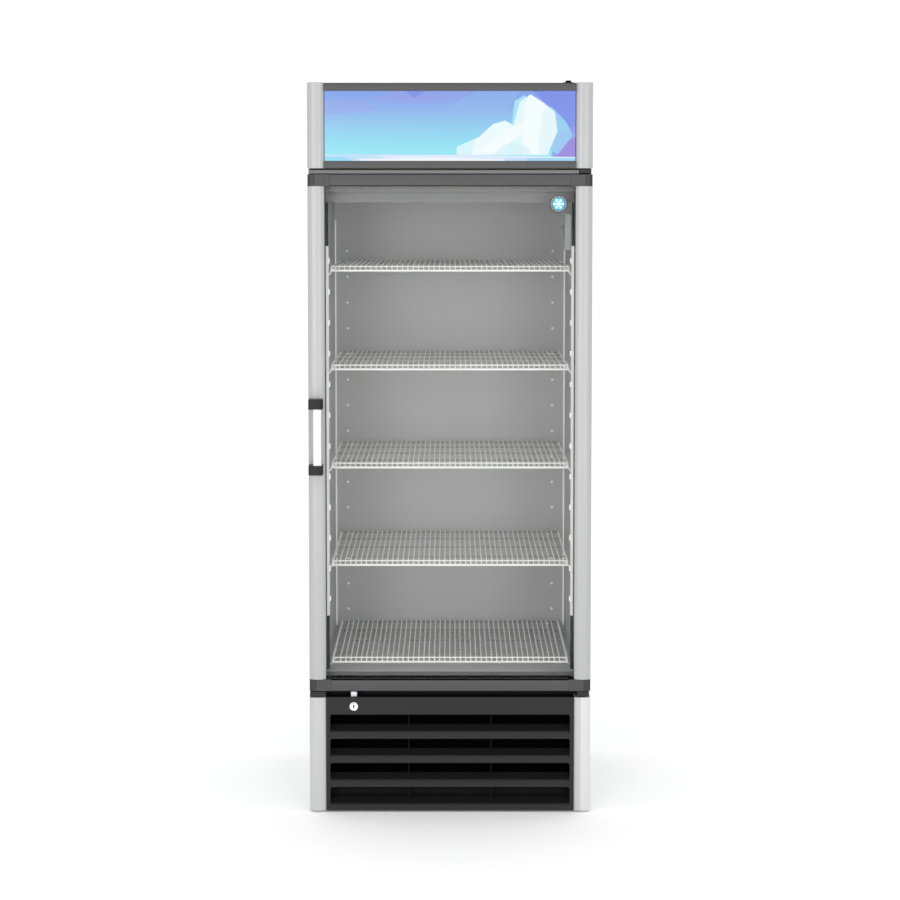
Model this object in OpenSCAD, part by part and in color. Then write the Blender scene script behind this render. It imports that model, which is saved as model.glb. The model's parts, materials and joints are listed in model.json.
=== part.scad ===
// Upright single-door glass merchandiser: an insulated cabinet with a lit header sign,
// a hinged glass door, five wire shelves and a refrigeration unit in the base.
// Millimetres. X to the right, the door faces -Y, Z up, origin at floor level under the middle.

/* [Cabinet] */
// Overall width of the cabinet
cab_w = 762; // [635:1:915]
// Overall height of the cabinet, without the cable grommet
cab_h = 1974; // [1760:1:2370]
// Depth from the door's front face to the back panel
cab_d = 706; // [588:1:847]
// Thickness of the insulated side walls
side_wall = 41; // [34:1:50]

/* [Door] */
// Thickness of the door frame
door_t = 48; // [40:1:56]
// Width of the door's upright stiles
stile_w = 44.6; // [38:0.2:54]
// Height of the door's top and bottom rails
rail_h = 31.5; // [28:0.5:38]

/* [Header and base] */
// Height of the lit sign header
header_h = 228; // [190:1:274]
// Height of the base below the door
base_h = 317; // [265:1:380]
// Number of air slots in the front grille
slot_count = 4; // [2:1:5]

/* [Shelves] */
// Height of the lowest shelf above the door opening's sill
first_shelf_rise = 36; // [30:1:70]
// Number of deck wires between a shelf's side rods
deck_wires = 43; // [21:2:61]
// Diameter of a deck wire
wire_d = 3.4; // [2.5:0.1:4]

/* [Handle] */
// Distance from the stile's face to the front of the handle
handle_proj = 40; // [32:1:48]
// Length of the handle with its brackets
handle_len = 203; // [168:1:244]
// Height of the handle's middle above the floor
handle_mid_z = 1028; // [850:1:1200]

/* [Hidden] */
$fn = 48;
fit = 0.3;           // gap between pieces that sit next to each other
run_fit = 0.05;      // radial running clearance of pins and shafts
e = 1;               // overrun of cutting solids

// Depths, counted along Y from the door's front face
half_w = cab_w / 2;
total_d = cab_d + handle_proj;
front_y = handle_proj - total_d / 2;
gasket_t = 10;
case_y = front_y + door_t + gasket_t;
back_y = front_y + cab_d;

// Cabinet walls
sheet_t = 2;
liner_t = 1;
breaker_t = 6;
lip_t = 3;           // thickness of the breaker frame's sides that turn back into the cavity
lip_block_t = 8.5;   // thickness above and below the pilasters
rear_wall = 46;
floor_wall = 50;
roof_wall = 60;
header_wall = 42;
trim_w = stile_w;
inner_hw = half_w - side_wall;
liner_back_y = back_y - rear_wall;
header_z = cab_h - header_h;

// Door
door_gap_z = 17;
door_z0 = base_h + door_gap_z;
door_z1 = header_z - 16;
open_z0 = door_z0 + 41;
open_z1 = door_z1 - 29;
pane_hw = half_w - stile_w;
corner_w = 59;
glass_t = 4;
glass_gap = 12;
glass_y = front_y + 11;
channel_depth = 8;
channel_w = 2 * glass_t + glass_gap + 2 * fit;
hinge_x = half_w - 20;
hinge_y = front_y + door_t / 2;
hinge_pin_r = 5;
hinge_pin_in = 20;
decal_r = 25;

// Shelves
evap_z = open_z1 - 46;
shelf_n = 5;
shelf_gap_x = 19;
top_clear = 170;
shelf_z1 = open_z0 + first_shelf_rise;
shelf_pitch = (evap_z - top_clear - shelf_z1) / (shelf_n - 1);
shelf_hw = inner_hw - shelf_gap_x;
side_rod_d = 6;
cross_rod_d = 4;
cross_rods = [0.014, 0.15, 0.47, 0.76, 1];   // places of the cross rods along a shelf's depth
front_rod_d = 6.2;
front_rod_out = 4;   // how far the front rod runs past the side rods
deck_edge_gap = 20.5;
front_drop = 14;
sink = 0.4;          // how far crossing wires are welded into each other
shelf_y0 = case_y + 30;
shelf_y1 = liner_back_y - 12;

// Base
foot_r = 20;
skirt_z = 4;
tray_z = 12;
tray_t = 3;
grille_z1 = base_h - fit;
slot_hw = pane_hw - 11;
slot_margin = 20;    // from the floor to the lowest slot
slot_head = 48;      // from the highest slot to the base's top
slot_bar = 17.7;     // between two slots
slot_h = (base_h - slot_margin - slot_head - (slot_count - 1) * slot_bar) / slot_count;
slot_pitch = slot_h + slot_bar;

// Header
header_rail_h = 20;
sign_t = 3;

// Lock
lock_x = -half_w + 120;
lock_z = base_h - 25;
lock_r = 10.5;
bolt_w = 16;
bolt_t = 8;
bolt_lift = 12;

// Evaporator fan, blowing down through the cover, and condenser fan, blowing backwards
evap_fan_r = 72;
evap_fan_y = case_y + 150;
cond_fan_r = 80;
cond_fan_x = 251 - half_w;
cond_fan_z = tray_z + 130;
cond_y = case_y + 60;
cond_t = 70;
comp_x = half_w - 191;
comp_y = back_y - 200;
comp_r = 80;
comp_z = tray_z + tray_t + 18;
stub_in = 40;
stub_z = comp_z + 165;
cond_hw = 130;
cond_bend_r = 20;

// ---- Helpers ----

// A block between two limits on each axis
module slab(x, y, z) {
  translate([x[0], y[0], z[0]]) cube([x[1] - x[0], y[1] - y[0], z[1] - z[0]]);
}

module rod_x(x0, x1, y, z, d, sides = 12) {
  translate([x0, y, z]) rotate([0, 90, 0]) rotate(180 / sides) cylinder(d = d, h = x1 - x0, $fn = sides);
}

module rod_y(x, y0, y1, z, d) {
  translate([x, y0, z]) rotate([-90, 0, 0]) cylinder(d = d, h = y1 - y0);
}

module rod_z(x, y, z0, z1, d, sides = 48) {
  translate([x, y, z0]) rotate(180 / sides) cylinder(d = d, h = z1 - z0, $fn = sides);
}

function arc(c, r, a0, a1, n = 5) =
  [for (i = [0:n]) c + r * [cos(a0 + (a1 - a0) * i / n), sin(a0 + (a1 - a0) * i / n)]];

// A rectangle whose four corners have their own radii, from the low x, low y corner anticlockwise
function rounded(x0, x1, y0, y1, r) = concat(
  arc([x0 + r[0], y0 + r[0]], r[0], 180, 270), arc([x1 - r[1], y0 + r[1]], r[1], 270, 360),
  arc([x1 - r[2], y1 - r[2]], r[2], 0, 90), arc([x0 + r[3], y1 - r[3]], r[3], 90, 180));

// Plan of a trim or stile: a bowed front face between soft corners, and a square back
bow = 6;

function bowed(x0, x1, y1, n = 10) = concat(
  [for (i = [0:n]) let (u = i / n) [x0 + (x1 - x0) * u, front_y + bow * pow(abs(2 * u - 1), 2.6)]],
  [[x1, y1], [x0, y1]]);

// A plan outline raised between two heights
module upright(points, z0, z1) {
  translate([0, 0, z0]) linear_extrude(z1 - z0) polygon(points);
}

// A Y-Z outline carried across between two x positions
module crosswise(points, x0, x1) {
  translate([x0, 0, 0]) rotate([90, 0, 90]) linear_extrude(x1 - x0) polygon(points);
}

// An X-Z outline carried back from y0 to y1
module face_on(points, y0, y1) {
  translate([0, y1, 0]) rotate([90, 0, 0]) linear_extrude(y1 - y0) polygon(points);
}

// A rectangular ring lying in an X-Z plane
module ring(hw_out, z_out, hw_in, z_in, y0, y1) {
  difference() {
    slab([-hw_out, hw_out], [y0, y1], z_out);
    slab([-hw_in, hw_in], [y0 - e, y1 + e], z_in);
  }
}

// A tube through a list of points, with a brazed joint at each bend
module pipe(points, d) {
  joint_swell = 0.6;
  for (i = [0:len(points) - 2]) {
    a = points[i];
    run = points[i + 1] - a;
    length = norm(run);
    translate(a) rotate([0, acos(run[2] / length), atan2(run[1], run[0])]) cylinder(d = d, h = length);
    if (i > 0) translate(a) sphere(d = d + joint_swell);
  }
}

// ---- Cabinet ----

module outer_shell() {
  color("darkgray") difference() {
    slab([-half_w, half_w], [case_y, back_y], [skirt_z, cab_h]);
    slab([-half_w + sheet_t, half_w - sheet_t], [case_y - e, back_y + e], [skirt_z - e, cab_h - sheet_t]);
    grommet_bore();
  }
}

module back_panel() {
  vent_x = [-half_w + 200, half_w - 90];
  vent_h = 8;
  color("darkgray") difference() {
    slab([-half_w + sheet_t, half_w - sheet_t], [back_y - sheet_t, back_y], [skirt_z, cab_h - sheet_t]);
    for (z = [70:24:190])
      slab(vent_x, [back_y - sheet_t - e, back_y + e], [z, z + vent_h]);
    slab(inlet_x, [back_y - sheet_t - e, back_y + e], inlet_z);
  }
}

module foam_insulation() {
  foam_y1 = back_y - sheet_t;
  skin_hw = half_w - sheet_t;
  color("wheat") difference() {
    slab([-skin_hw, skin_hw], [case_y + breaker_t, foam_y1], [door_z0 + 1, cab_h - sheet_t]);
    slab([-inner_hw - liner_t, inner_hw + liner_t], [case_y, liner_back_y + liner_t],
      [open_z0 - liner_t, open_z1 + liner_t]);
    slab([-inner_hw - liner_t, inner_hw + liner_t], [case_y + header_wall, liner_back_y + liner_t],
      [open_z0, cab_h - roof_wall + liner_t]);
    for (x = [drain_x, line_x]) rod_z(x, chase_y, 0, chase_top, chase_d);
    for (x = [drain_x, line_x]) rod_y(x, liner_back_y, chase_y, chase_top - chase_d, chase_d);
    grommet_bore();
  }
}

module inner_liner() {
  cavity_y1 = liner_back_y;
  color("gainsboro") difference() {
    union() {
      slab([-inner_hw - liner_t, inner_hw + liner_t], [case_y + breaker_t, cavity_y1 + liner_t],
        [open_z0 - liner_t, open_z1 + liner_t]);
      slab([-inner_hw - liner_t, inner_hw + liner_t], [case_y + header_wall, cavity_y1 + liner_t],
        [open_z0, cab_h - roof_wall + liner_t]);
    }
    slab([-inner_hw, inner_hw], [case_y, cavity_y1], [open_z0, open_z1]);
    slab([-inner_hw, inner_hw], [case_y + header_wall + liner_t, cavity_y1],
      [open_z0, cab_h - roof_wall]);
    for (x = [drain_x, line_x])
      rod_y(x, cavity_y1 - e, cavity_y1 + liner_t + e, chase_top - chase_d, chase_d);
  }
}

function lip_x(side, t) = side > 0 ? [inner_hw - t, inner_hw] : [-inner_hw, t - inner_hw];

// The frame's sides turn back into the cavity, in front of, above and below the pilasters
module breaker_frame() {
  lip_y = [front_pilaster_y - pilaster_w / 2 - fit, front_pilaster_y + pilaster_w / 2];
  color("dimgray") {
    ring(half_w - sheet_t, [door_z0 + 1, header_z - 1], inner_hw, [open_z0, open_z1],
      case_y, case_y + breaker_t);
    for (s = [-1, 1]) {
      slab(lip_x(s, lip_t), [case_y, lip_y[0]], [open_z0, open_z1]);
      slab(lip_x(s, lip_block_t), [lip_y[0] - sink, lip_y[1]], [open_z0, front_pilaster_z[0] - fit]);
      slab(lip_x(s, lip_block_t), [lip_y[0] - sink, lip_y[1]], [front_pilaster_z[1] + fit, evap_z - fit]);
    }
  }
}

module base_frame() {
  hw = half_w - sheet_t - fit;
  post_w = 26;
  y0 = case_y + fit;
  y1 = back_y - sheet_t - fit;
  color("dimgray") difference() {
    union() {
      slab([-hw, hw], [y0, y1], [tray_z, tray_z + tray_t]);
      slab([-hw, hw], [y0, y0 + tray_t], [tray_z, tray_z + 40]);
      slab([-hw, hw], [y0, y0 + post_w], [base_h - 20, door_z0]);
      slab([-hw, hw], [y1 - post_w, y1], [base_h - 20, door_z0]);
      for (s = [-1, 1], y = [y0, y1 - post_w])
        translate([s > 0 ? hw - post_w : -hw, y, tray_z]) cube([post_w, post_w, door_z0 - tray_z]);
    }
    for (s = [-1, 1], y = foot_ys) rod_z(s * foot_x, y, tray_z - e, tray_z + tray_t + e, foot_stud_d + 1);
    rod_z(drain_x, chase_y, door_z0 - 60, door_z0 + e, chase_d);
    rod_z(line_x, chase_y, door_z0 - 60, door_z0 + e, chase_d);
  }
}

foot_x = half_w - 60;
foot_ys = [case_y + 70, back_y - 70];
foot_stud_d = 10;

module levelling_feet() {
  color("black") for (s = [-1, 1], y = foot_ys) {
    rod_z(s * foot_x, y, 0, 6, 2 * foot_r);
    rod_z(s * foot_x, y, 6 - sink, 30, foot_stud_d);
    rod_z(s * foot_x, y, tray_z - 5, tray_z - fit, 17, 6);
  }
}

// ---- Header ----

header_y0 = front_y + 2;

module header_housing() {
  hw = pane_hw - fit;
  wall = 1.5;
  z0 = header_z + 1;
  z1 = cab_h - 1;
  color("gray") difference() {
    slab([-hw, hw], [header_y0 + 8, case_y - fit], [z0, z1]);
    slab([-hw + wall, hw - wall], [header_y0, case_y - fit - wall], [z0 + wall, z1 - wall]);
  }
}

module header_frame() {
  hw = pane_hw - fit;
  rail_t = 7;
  color("dimgray") for (z = [header_z, cab_h - header_rail_h - 3]) difference() {
    crosswise(rounded(front_y + 1, front_y + 1 + rail_t, z, z + header_rail_h, [2, 0.5, 0.5, 2]), -hw, hw);
    slab([-hw - e, hw + e], [header_y0 + 1, header_y0 + 1 + sign_t + fit],
      z > header_z ? [z - e, z + 5] : [z + header_rail_h - 5, z + header_rail_h + e]);
  }
}

module sign_panel() {
  color("lightblue")
    slab([-pane_hw + 2, pane_hw - 2], [header_y0 + 1.2, header_y0 + 1.2 + sign_t - 0.4],
      [header_z + header_rail_h - 4.5, cab_h - header_rail_h - 3 + 4.5]);
}

module header_lamp() {
  z = header_z + header_h / 2;
  y = case_y - 1.5 - fit;
  color("ivory") {
    for (dz = [-40, 40]) {
      slab([-pane_hw + 30, pane_hw - 30], [y - 5, y - fit], [z + dz - 12, z + dz + 12]);
      for (x = [-pane_hw + 70:60:pane_hw - 60]) rod_y(x, y - 9, y - 5 + sink, z + dz, 9);
    }
  }
}

module side_trim(side, z0, z1) {
  x0 = side > 0 ? pane_hw : -half_w;
  inside = 2.2;
  difference() {
    upright(bowed(x0, x0 + trim_w, case_y - fit), z0, z1);
    slab([x0 + inside, x0 + trim_w - inside], [front_y + bow + inside, case_y + e], [z0 - e, z1 - inside]);
  }
}

module header_trim_left() { color("silver") side_trim(-1, header_z, cab_h); }
module header_trim_right() { color("silver") side_trim(1, header_z, cab_h); }

module fascia_strip() {
  z0 = door_z1 + 1.5;
  color("dimgray")
    crosswise(rounded(front_y + 5, case_y - fit, z0, header_z - 4, [2, 0.5, 0.5, 2]),
      -half_w + 3, hinge_x - 17);
}

grommet_x = half_w - 62;
grommet_y = case_y + 30;
grommet_d = 22;

module grommet_bore() {
  translate([grommet_x, grommet_y, cab_h - 16]) cylinder(d = grommet_d, h = 20);
}

module cable_grommet() {
  color("black") {
    rod_z(grommet_x, grommet_y, cab_h - 14, cab_h + sink, grommet_d - 2 * fit);
    rod_z(grommet_x, grommet_y, cab_h, cab_h + 4, 30);
    rod_z(grommet_x, grommet_y, cab_h + 4 - sink, cab_h + 9, 16);
  }
}

// ---- Base front ----

module base_trim_left() { color("silver") side_trim(-1, skirt_z, base_h - 1); }
module base_trim_right() { color("silver") side_trim(1, skirt_z, base_h - 1); }

grille_t = 5;
grille_y = front_y + 3;

module front_grille() {
  hw = pane_hw - fit;
  blade_t = 2.5;
  blade_out = 18;      // how far a blade slopes back behind the front wall
  blade_rise = 16;
  rib_t = 3;
  rib_y = [10, 22];    // depths of the ribs that join the blades, behind the front wall
  rib_lap = 4;
  color([0.22, 0.22, 0.22]) {
    difference() {
      slab([-hw, hw], [grille_y, grille_y + 30], [skirt_z + 1, grille_z1]);
      slab([-hw + grille_t, hw - grille_t], [grille_y + grille_t, grille_y + 30 + e],
        [skirt_z + 1 + grille_t, grille_z1 - grille_t]);
      for (i = [0:slot_count - 1]) slot_cut(slot_margin + i * slot_pitch);
      rod_y(lock_x, grille_y - e, grille_y + grille_t + e, lock_z, 2 * (lock_r + run_fit));
      slab([lock_x - bolt_w / 2 - fit, lock_x + bolt_w / 2 + fit],
        [bolt_y - fit, bolt_y + bolt_t + fit], [grille_z1 - grille_t - e, grille_z1 + e]);
    }
    for (i = [0:slot_count - 1]) {
      z = slot_margin + i * slot_pitch;
      y = grille_y + grille_t;
      crosswise([[y - 1, z - blade_t], [y + blade_out, z + blade_rise],
        [y + blade_out, z + blade_rise + blade_t], [y - 1, z + blade_t]], -hw + 1, hw - 1);
      for (x = [-hw / 3, hw / 3])
        slab([x - rib_t / 2, x + rib_t / 2], [y + rib_y[0], y + rib_y[1]], [z - rib_lap, z + slot_h + rib_lap]);
    }
  }
}

module slot_cut(z) {
  top_r = 6;
  face_on(rounded(-slot_hw, slot_hw, z, z + slot_h, [1, 1, top_r, top_r]), grille_y - e, grille_y + grille_t + e);
}

// ---- Lock ----

bolt_y = front_y + 12;
lock_cam_y = bolt_y + bolt_t + 1;

module lock_cylinder() {
  face_y = front_y - 1;
  color("silver") difference() {
    union() {
      rod_y(lock_x, face_y, grille_y - fit, lock_z, 2 * lock_r + 2);
      rod_y(lock_x, grille_y - fit - sink, grille_y + grille_t + 1, lock_z, 2 * lock_r);
      rod_y(lock_x, grille_y + grille_t, lock_cam_y + 3, lock_z, 5);
      slab([lock_x - 4, lock_x + 9], [lock_cam_y, lock_cam_y + 3], [lock_z - 4, lock_z + 4]);
    }
    slab([lock_x - 1, lock_x + 1], [face_y - e, face_y + 6], [lock_z - 5, lock_z + 5]);
    rod_y(lock_x, face_y - e, face_y + 6, lock_z + 3, 4);
  }
}

module lock_bolt() {
  z1 = door_z0 - 4;
  color("silver") difference() {
    slab([lock_x - bolt_w / 2, lock_x + bolt_w / 2], [bolt_y, bolt_y + bolt_t], [lock_z - 18, z1]);
    slab([lock_x - 4, lock_x + 4], [bolt_y - e, bolt_y + bolt_t + e], [lock_z - 15, lock_z + 15]);
  }
}

// ---- Hinges ----

hinge_hw = 16;

module hinge_plate(z0, z1) {
  slab([hinge_x - hinge_hw, hinge_x + hinge_hw], [front_y + 6, case_y - fit], [z0, z1]);
}

module hinge_top() {
  color("black") {
    hinge_plate(door_z1 + 3, header_z - 2);
    rod_z(hinge_x, hinge_y, door_z1 - hinge_pin_in + 2, door_z1 + 3 + sink, 2 * hinge_pin_r);
  }
}

module hinge_bottom() {
  color("black") {
    hinge_plate(base_h + 1, door_z0 - 2);
    rod_z(hinge_x, hinge_y, door_z0 - 2 - sink, door_z0 + hinge_pin_in - 2, 2 * hinge_pin_r);
  }
}

module hinge_blank() {
  color("black")
    slab([-half_w + 1, -pane_hw], [front_y + 2, case_y - fit], [base_h, door_z0 - 2]);
}

// ---- Door ----

profile_wall = 2.4;
chamber_w = stile_w - channel_depth - 2 * profile_wall;

module stile(side) {
  x0 = side > 0 ? pane_hw : -half_w;
  wall = profile_wall;
  web_x = side > 0 ? pane_hw + channel_depth + wall : -half_w + wall;
  channel_x = side > 0 ? pane_hw - e : -pane_hw - channel_depth;
  difference() {
    upright(bowed(x0, x0 + stile_w, front_y + door_t), door_z0 + rail_h, door_z1 - rail_h);
    slab([web_x, web_x + chamber_w], [front_y + bow + wall, front_y + door_t - wall],
      [door_z0 + rail_h - e, door_z1 - rail_h + e]);
    slab([channel_x, channel_x + channel_depth + e], [glass_y - fit, glass_y - fit + channel_w],
      [door_z0 + rail_h - e, door_z1 - rail_h + e]);
  }
}

module stile_left() { color("silver") stile(-1); }
module stile_right() { color("silver") stile(1); }

module rail(z0, opening_up) {
  hw = half_w - corner_w;
  wall = profile_wall;
  channel_z = opening_up ? z0 + rail_h - channel_depth : z0 - e;
  chamber_z = opening_up ? z0 + 3 : z0 + channel_depth + wall;
  difference() {
    crosswise(rounded(front_y + 0.6, front_y + door_t, z0, z0 + rail_h, [2, 1, 1, 2]), -hw, hw);
    slab([-hw - e, hw + e], [glass_y - fit, glass_y - fit + channel_w], [channel_z, channel_z + channel_depth + e]);
    slab([-hw - e, hw + e], [front_y + 4, front_y + door_t - wall],
      [chamber_z, chamber_z + rail_h - channel_depth - wall - 3]);
  }
}

module rail_top() { color("dimgray") rail(door_z1 - rail_h, false); }

module rail_bottom() {
  color("dimgray") difference() {
    rail(door_z0, true);
    slab([lock_x - bolt_w / 2 - 1, lock_x + bolt_w / 2 + 1], [bolt_y - 1, bolt_y + bolt_t + 1],
      [door_z0 - e, door_z0 + bolt_lift]);
  }
}

// One moulded corner of the door frame, with a bush for the hinge pin
module corner_cap(side, z0, opening_up) {
  x0 = side > 0 ? half_w - corner_w : -half_w;
  in_x0 = side > 0 ? x0 : -pane_hw;
  channel_z = opening_up ? z0 + rail_h - channel_depth : z0 - e;
  bore_z = opening_up ? z0 - e : z0 + rail_h - hinge_pin_in;
  difference() {
    upright(rounded(x0, x0 + corner_w, front_y + 0.3, front_y + door_t,
      side > 0 ? [0.5, 9, 2, 0.5] : [9, 0.5, 0.5, 2]), z0, z0 + rail_h);
    slab([side > 0 ? x0 - e : -pane_hw - channel_depth,
      side > 0 ? pane_hw + channel_depth : in_x0 + corner_w],
      [glass_y - fit, glass_y - fit + channel_w], [channel_z, channel_z + channel_depth + e]);
    rod_z(side * hinge_x, hinge_y, bore_z, bore_z + hinge_pin_in + e, 2 * (hinge_pin_r + run_fit));
  }
}

module corner_caps() {
  color("dimgray") for (side = [-1, 1]) {
    corner_cap(side, door_z1 - rail_h, false);
    corner_cap(side, door_z0, true);
  }
}

pane_grip = channel_depth - 1;
pane_x = [-pane_hw - pane_grip, pane_hw + pane_grip];
pane_z = [door_z0 + rail_h - pane_grip, door_z1 - rail_h + pane_grip];

module outer_glass() {
  color([0.75, 0.85, 0.85, 0.3]) slab(pane_x, [glass_y, glass_y + glass_t], pane_z);
}

module inner_glass() {
  y0 = glass_y + glass_t + glass_gap;
  color([0.75, 0.85, 0.85, 0.3]) slab(pane_x, [y0, y0 + glass_t], pane_z);
}

module glass_spacer() {
  y0 = glass_y + glass_t;
  color("black")
    ring(pane_x[1], pane_z, pane_hw, [pane_z[0] + pane_grip, pane_z[1] - pane_grip], y0, y0 + glass_gap);
}

module door_gasket() {
  body = 15;
  color("black")
    ring(pane_hw + body, [door_z0 + rail_h - body, door_z1 - rail_h + body], pane_hw,
      [door_z0 + rail_h, door_z1 - rail_h], front_y + door_t, case_y - fit);
}

// Torsion rod in the hinge stile that pulls the door shut
module door_closer() {
  x1 = half_w - profile_wall;
  z0 = door_z0 + rail_h;
  rod_d = 12;
  rod_h = 300;
  block_y = [max(hinge_y - rod_d, front_y + bow + profile_wall),
    min(hinge_y + rod_d, front_y + door_t - profile_wall)];
  color("gray") {
    rod_z(hinge_x - 1, hinge_y, z0 + 4, z0 + rod_h, rod_d);
    slab([x1 - chamber_w, x1], block_y, [z0 + 6, z0 + 26]);
  }
}

module glass_decal() {
  color("white")
    rod_y(pane_hw - 46, glass_y - 0.4, glass_y, door_z1 - rail_h - 47, 2 * decal_r);
}

// ---- Handle ----

handle_x = -half_w + 26;
grip_hw = 11.5;
bracket_hw = 19;
bracket_h = 26;
grip_t = 9;

module handle_grip() {
  z0 = handle_mid_z - handle_len / 2;
  y0 = front_y - handle_proj;
  color("silver")
    upright(rounded(handle_x - grip_hw, handle_x + grip_hw, y0 + 2, y0 + 2 + grip_t, [4, 4, 2, 2]),
      z0 + 12, z0 + handle_len - 12);
}

module handle_brackets() {
  x0 = -half_w + 2;
  y0 = front_y - handle_proj;
  color([0.1, 0.1, 0.1]) for (z = [handle_mid_z - handle_len / 2, handle_mid_z + handle_len / 2 - bracket_h])
    difference() {
      upright(rounded(x0, x0 + 2 * bracket_hw, y0, front_y + bow, [6, 6, 0.5, 0.5]), z, z + bracket_h);
      upright(bowed(-half_w, -pane_hw, front_y + door_t), z - e, z + bracket_h + e);
      upright(rounded(handle_x - grip_hw - fit, handle_x + grip_hw + fit, y0 + 2 - fit,
        y0 + 2 + grip_t + fit, [4, 4, 2, 2]),
        z < handle_mid_z ? z + 12 - fit : z - e,
        z < handle_mid_z ? z + bracket_h + e : z + bracket_h - 12 + fit);
    }
}

// ---- Shelves and their supports ----

pilaster_w = 24;
pilaster_t = 9.5;
pilaster_rise = 149;
pilaster_drop = 118;
front_pilaster_y = case_y + 50;
front_pilaster_z = [open_z0 + pilaster_rise, evap_z - pilaster_drop];
pilaster_sheet = 1.5;
lug_out = 3.5;
lug_w = 8;
lug_h = 14;
lug_n = 12;
lug_foot = 38;       // from a strip's lower end up to its first lug
lug_head = 47;       // from its last lug's foot up to its upper end
stud_x = inner_hw - 37;
stud_d = 7;
stud_out = 5;
stud_n = 15;
stud_rise = 70;
stud_drop = 143;
clip_d = 9;

// Two upright channels on the side walls, each with a row of support lugs
module front_pilasters() {
  lug_z1 = front_pilaster_z[0] + lug_foot;
  lug_pitch = (front_pilaster_z[1] - lug_head - lug_z1) / (lug_n - 1);
  color("white") for (s = [-1, 1]) translate([s * inner_hw, front_pilaster_y, 0]) rotate(s * 90) {
    difference() {
      slab([-pilaster_w / 2, pilaster_w / 2], [0, pilaster_t], front_pilaster_z);
      slab([pilaster_sheet - pilaster_w / 2, pilaster_w / 2 - pilaster_sheet],
        [-e, pilaster_t - pilaster_sheet], front_pilaster_z + [-e, e]);
    }
    for (i = [0:lug_n - 1])
      slab([-lug_w / 2, lug_w / 2], [pilaster_t - sink, pilaster_t + lug_out],
        [lug_z1 + i * lug_pitch, lug_z1 + i * lug_pitch + lug_h]);
  }
}

// A slim strip up each back corner, and two rows of round studs on the back wall
module rear_supports() {
  strip_w = 4;
  strip_z = [open_z0 + 21, evap_z - 53];
  stud_z0 = open_z0 + stud_rise;
  stud_pitch = (evap_z - stud_drop - stud_z0) / (stud_n - 1);
  color("white") for (s = [-1, 1]) {
    slab(s > 0 ? [inner_hw - strip_w, inner_hw] : [-inner_hw, strip_w - inner_hw],
      [liner_back_y - strip_w, liner_back_y], strip_z);
    for (i = [0:stud_n - 1])
      rod_y(s * stud_x, liner_back_y - stud_out, liner_back_y, stud_z0 + i * stud_pitch, stud_d);
  }
}

// Front clips reach under each shelf's side rods, and rear clips under its back rod
module shelf_clips() {
  rest = 0.1;
  clip_t = 4;
  out = inner_hw - pilaster_t;
  clip_y = front_pilaster_y + lug_w / 2 + 1;
  clip_x = stud_x - stud_d / 2 - 1 - clip_d;
  color("gainsboro") for (i = [1:shelf_n], s = [-1, 1]) {
    z = cross_rod_z(i) - rest;
    side_z = z - side_rod_d / 2;
    back_z = z - cross_rod_d / 2;
    slab(s > 0 ? [shelf_hw - 4, out] : [-out, 4 - shelf_hw], [clip_y, clip_y + clip_d], [side_z - clip_t, side_z]);
    slab(s > 0 ? [clip_x, clip_x + clip_d] : [-clip_x - clip_d, -clip_x],
      [shelf_y1 - 4, liner_back_y], [back_z - clip_t, back_z]);
  }
}

function cross_rod_z(i) = shelf_z(i) - (wire_d + cross_rod_d) / 2 + sink;

function shelf_z(i) = shelf_z1 + (i - 1) * shelf_pitch;

// A welded wire shelf whose deck wires run front to back and turn down at the front edge
module wire_shelf(i) {
  z = shelf_z(i);
  cross_z = cross_rod_z(i);
  low_z = z - front_drop;
  deck_pitch = 2 * (shelf_hw - deck_edge_gap) / (deck_wires - 1);
  span = shelf_y1 - shelf_y0;
  color("white") {
    for (s = [-1, 1]) {
      rod_y(s * shelf_hw, shelf_y0, shelf_y1, cross_z, side_rod_d);
      rod_z(s * shelf_hw, shelf_y0 + 1, low_z, cross_z, side_rod_d - 0.4, 12);
    }
    rod_x(-shelf_hw - front_rod_out, shelf_hw + front_rod_out, shelf_y0, low_z, front_rod_d);
    for (f = cross_rods)
      rod_x(-shelf_hw, shelf_hw, shelf_y0 + f * span, cross_z, cross_rod_d);
    for (k = [0:deck_wires - 1]) {
      x = (k - (deck_wires - 1) / 2) * deck_pitch;
      rod_y(x, shelf_y0 + 0.5, shelf_y1, z, wire_d);
      rod_z(x, shelf_y0 + 2, low_z, z, wire_d - 0.2, 12);
    }
  }
}

module shelf_1() { wire_shelf(1); }
module shelf_2() { wire_shelf(2); }
module shelf_3() { wire_shelf(3); }
module shelf_4() { wire_shelf(4); }
module shelf_5() { wire_shelf(5); }

// ---- Lamp, switch and thermostat ----

lamp_hw = inner_hw - lip_t - fit;
lamp_y = case_y + header_wall - 6;

module interior_lamp() {
  color("white") difference() {
    crosswise(rounded(lamp_y - 28, lamp_y, open_z1 - 18, open_z1 - fit, [6, 6, 1, 1]), -lamp_hw, lamp_hw);
    slab([switch_x - 12, switch_x + 12], [switch_y - 6 - fit, switch_y + 6 + fit],
      [open_z1 - 18 - e, open_z1 - 8]);
    rod_y(switch_x, switch_y - 9, switch_y + 9, switch_z, 2 * (switch_pin_r + run_fit));
  }
}

switch_y = lamp_y - 14;
switch_x = inner_hw - 82;
switch_z = open_z1 - 15;
switch_pin_r = 1;

module light_switch() {
  hw = 9.5;
  color([0.15, 0.15, 0.15]) {
    face_on([[switch_x - hw, switch_z - 3], [switch_x, switch_z - 2], [switch_x + hw, switch_z - 4.5],
      [switch_x + hw, switch_z + 3], [switch_x - hw, switch_z + 3]], switch_y - 6, switch_y + 6);
    rod_y(switch_x, switch_y - 8.5, switch_y + 8.5, switch_z, 2 * switch_pin_r);
  }
}

thermo_x = inner_hw - 17;
thermo_y = [case_y + 268, case_y + 340];
thermo_z = [evap_z - 135, evap_z - 30];
knob_z = (thermo_z[0] + thermo_z[1]) / 2;
knob_y = (thermo_y[0] + thermo_y[1]) / 2;

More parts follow.
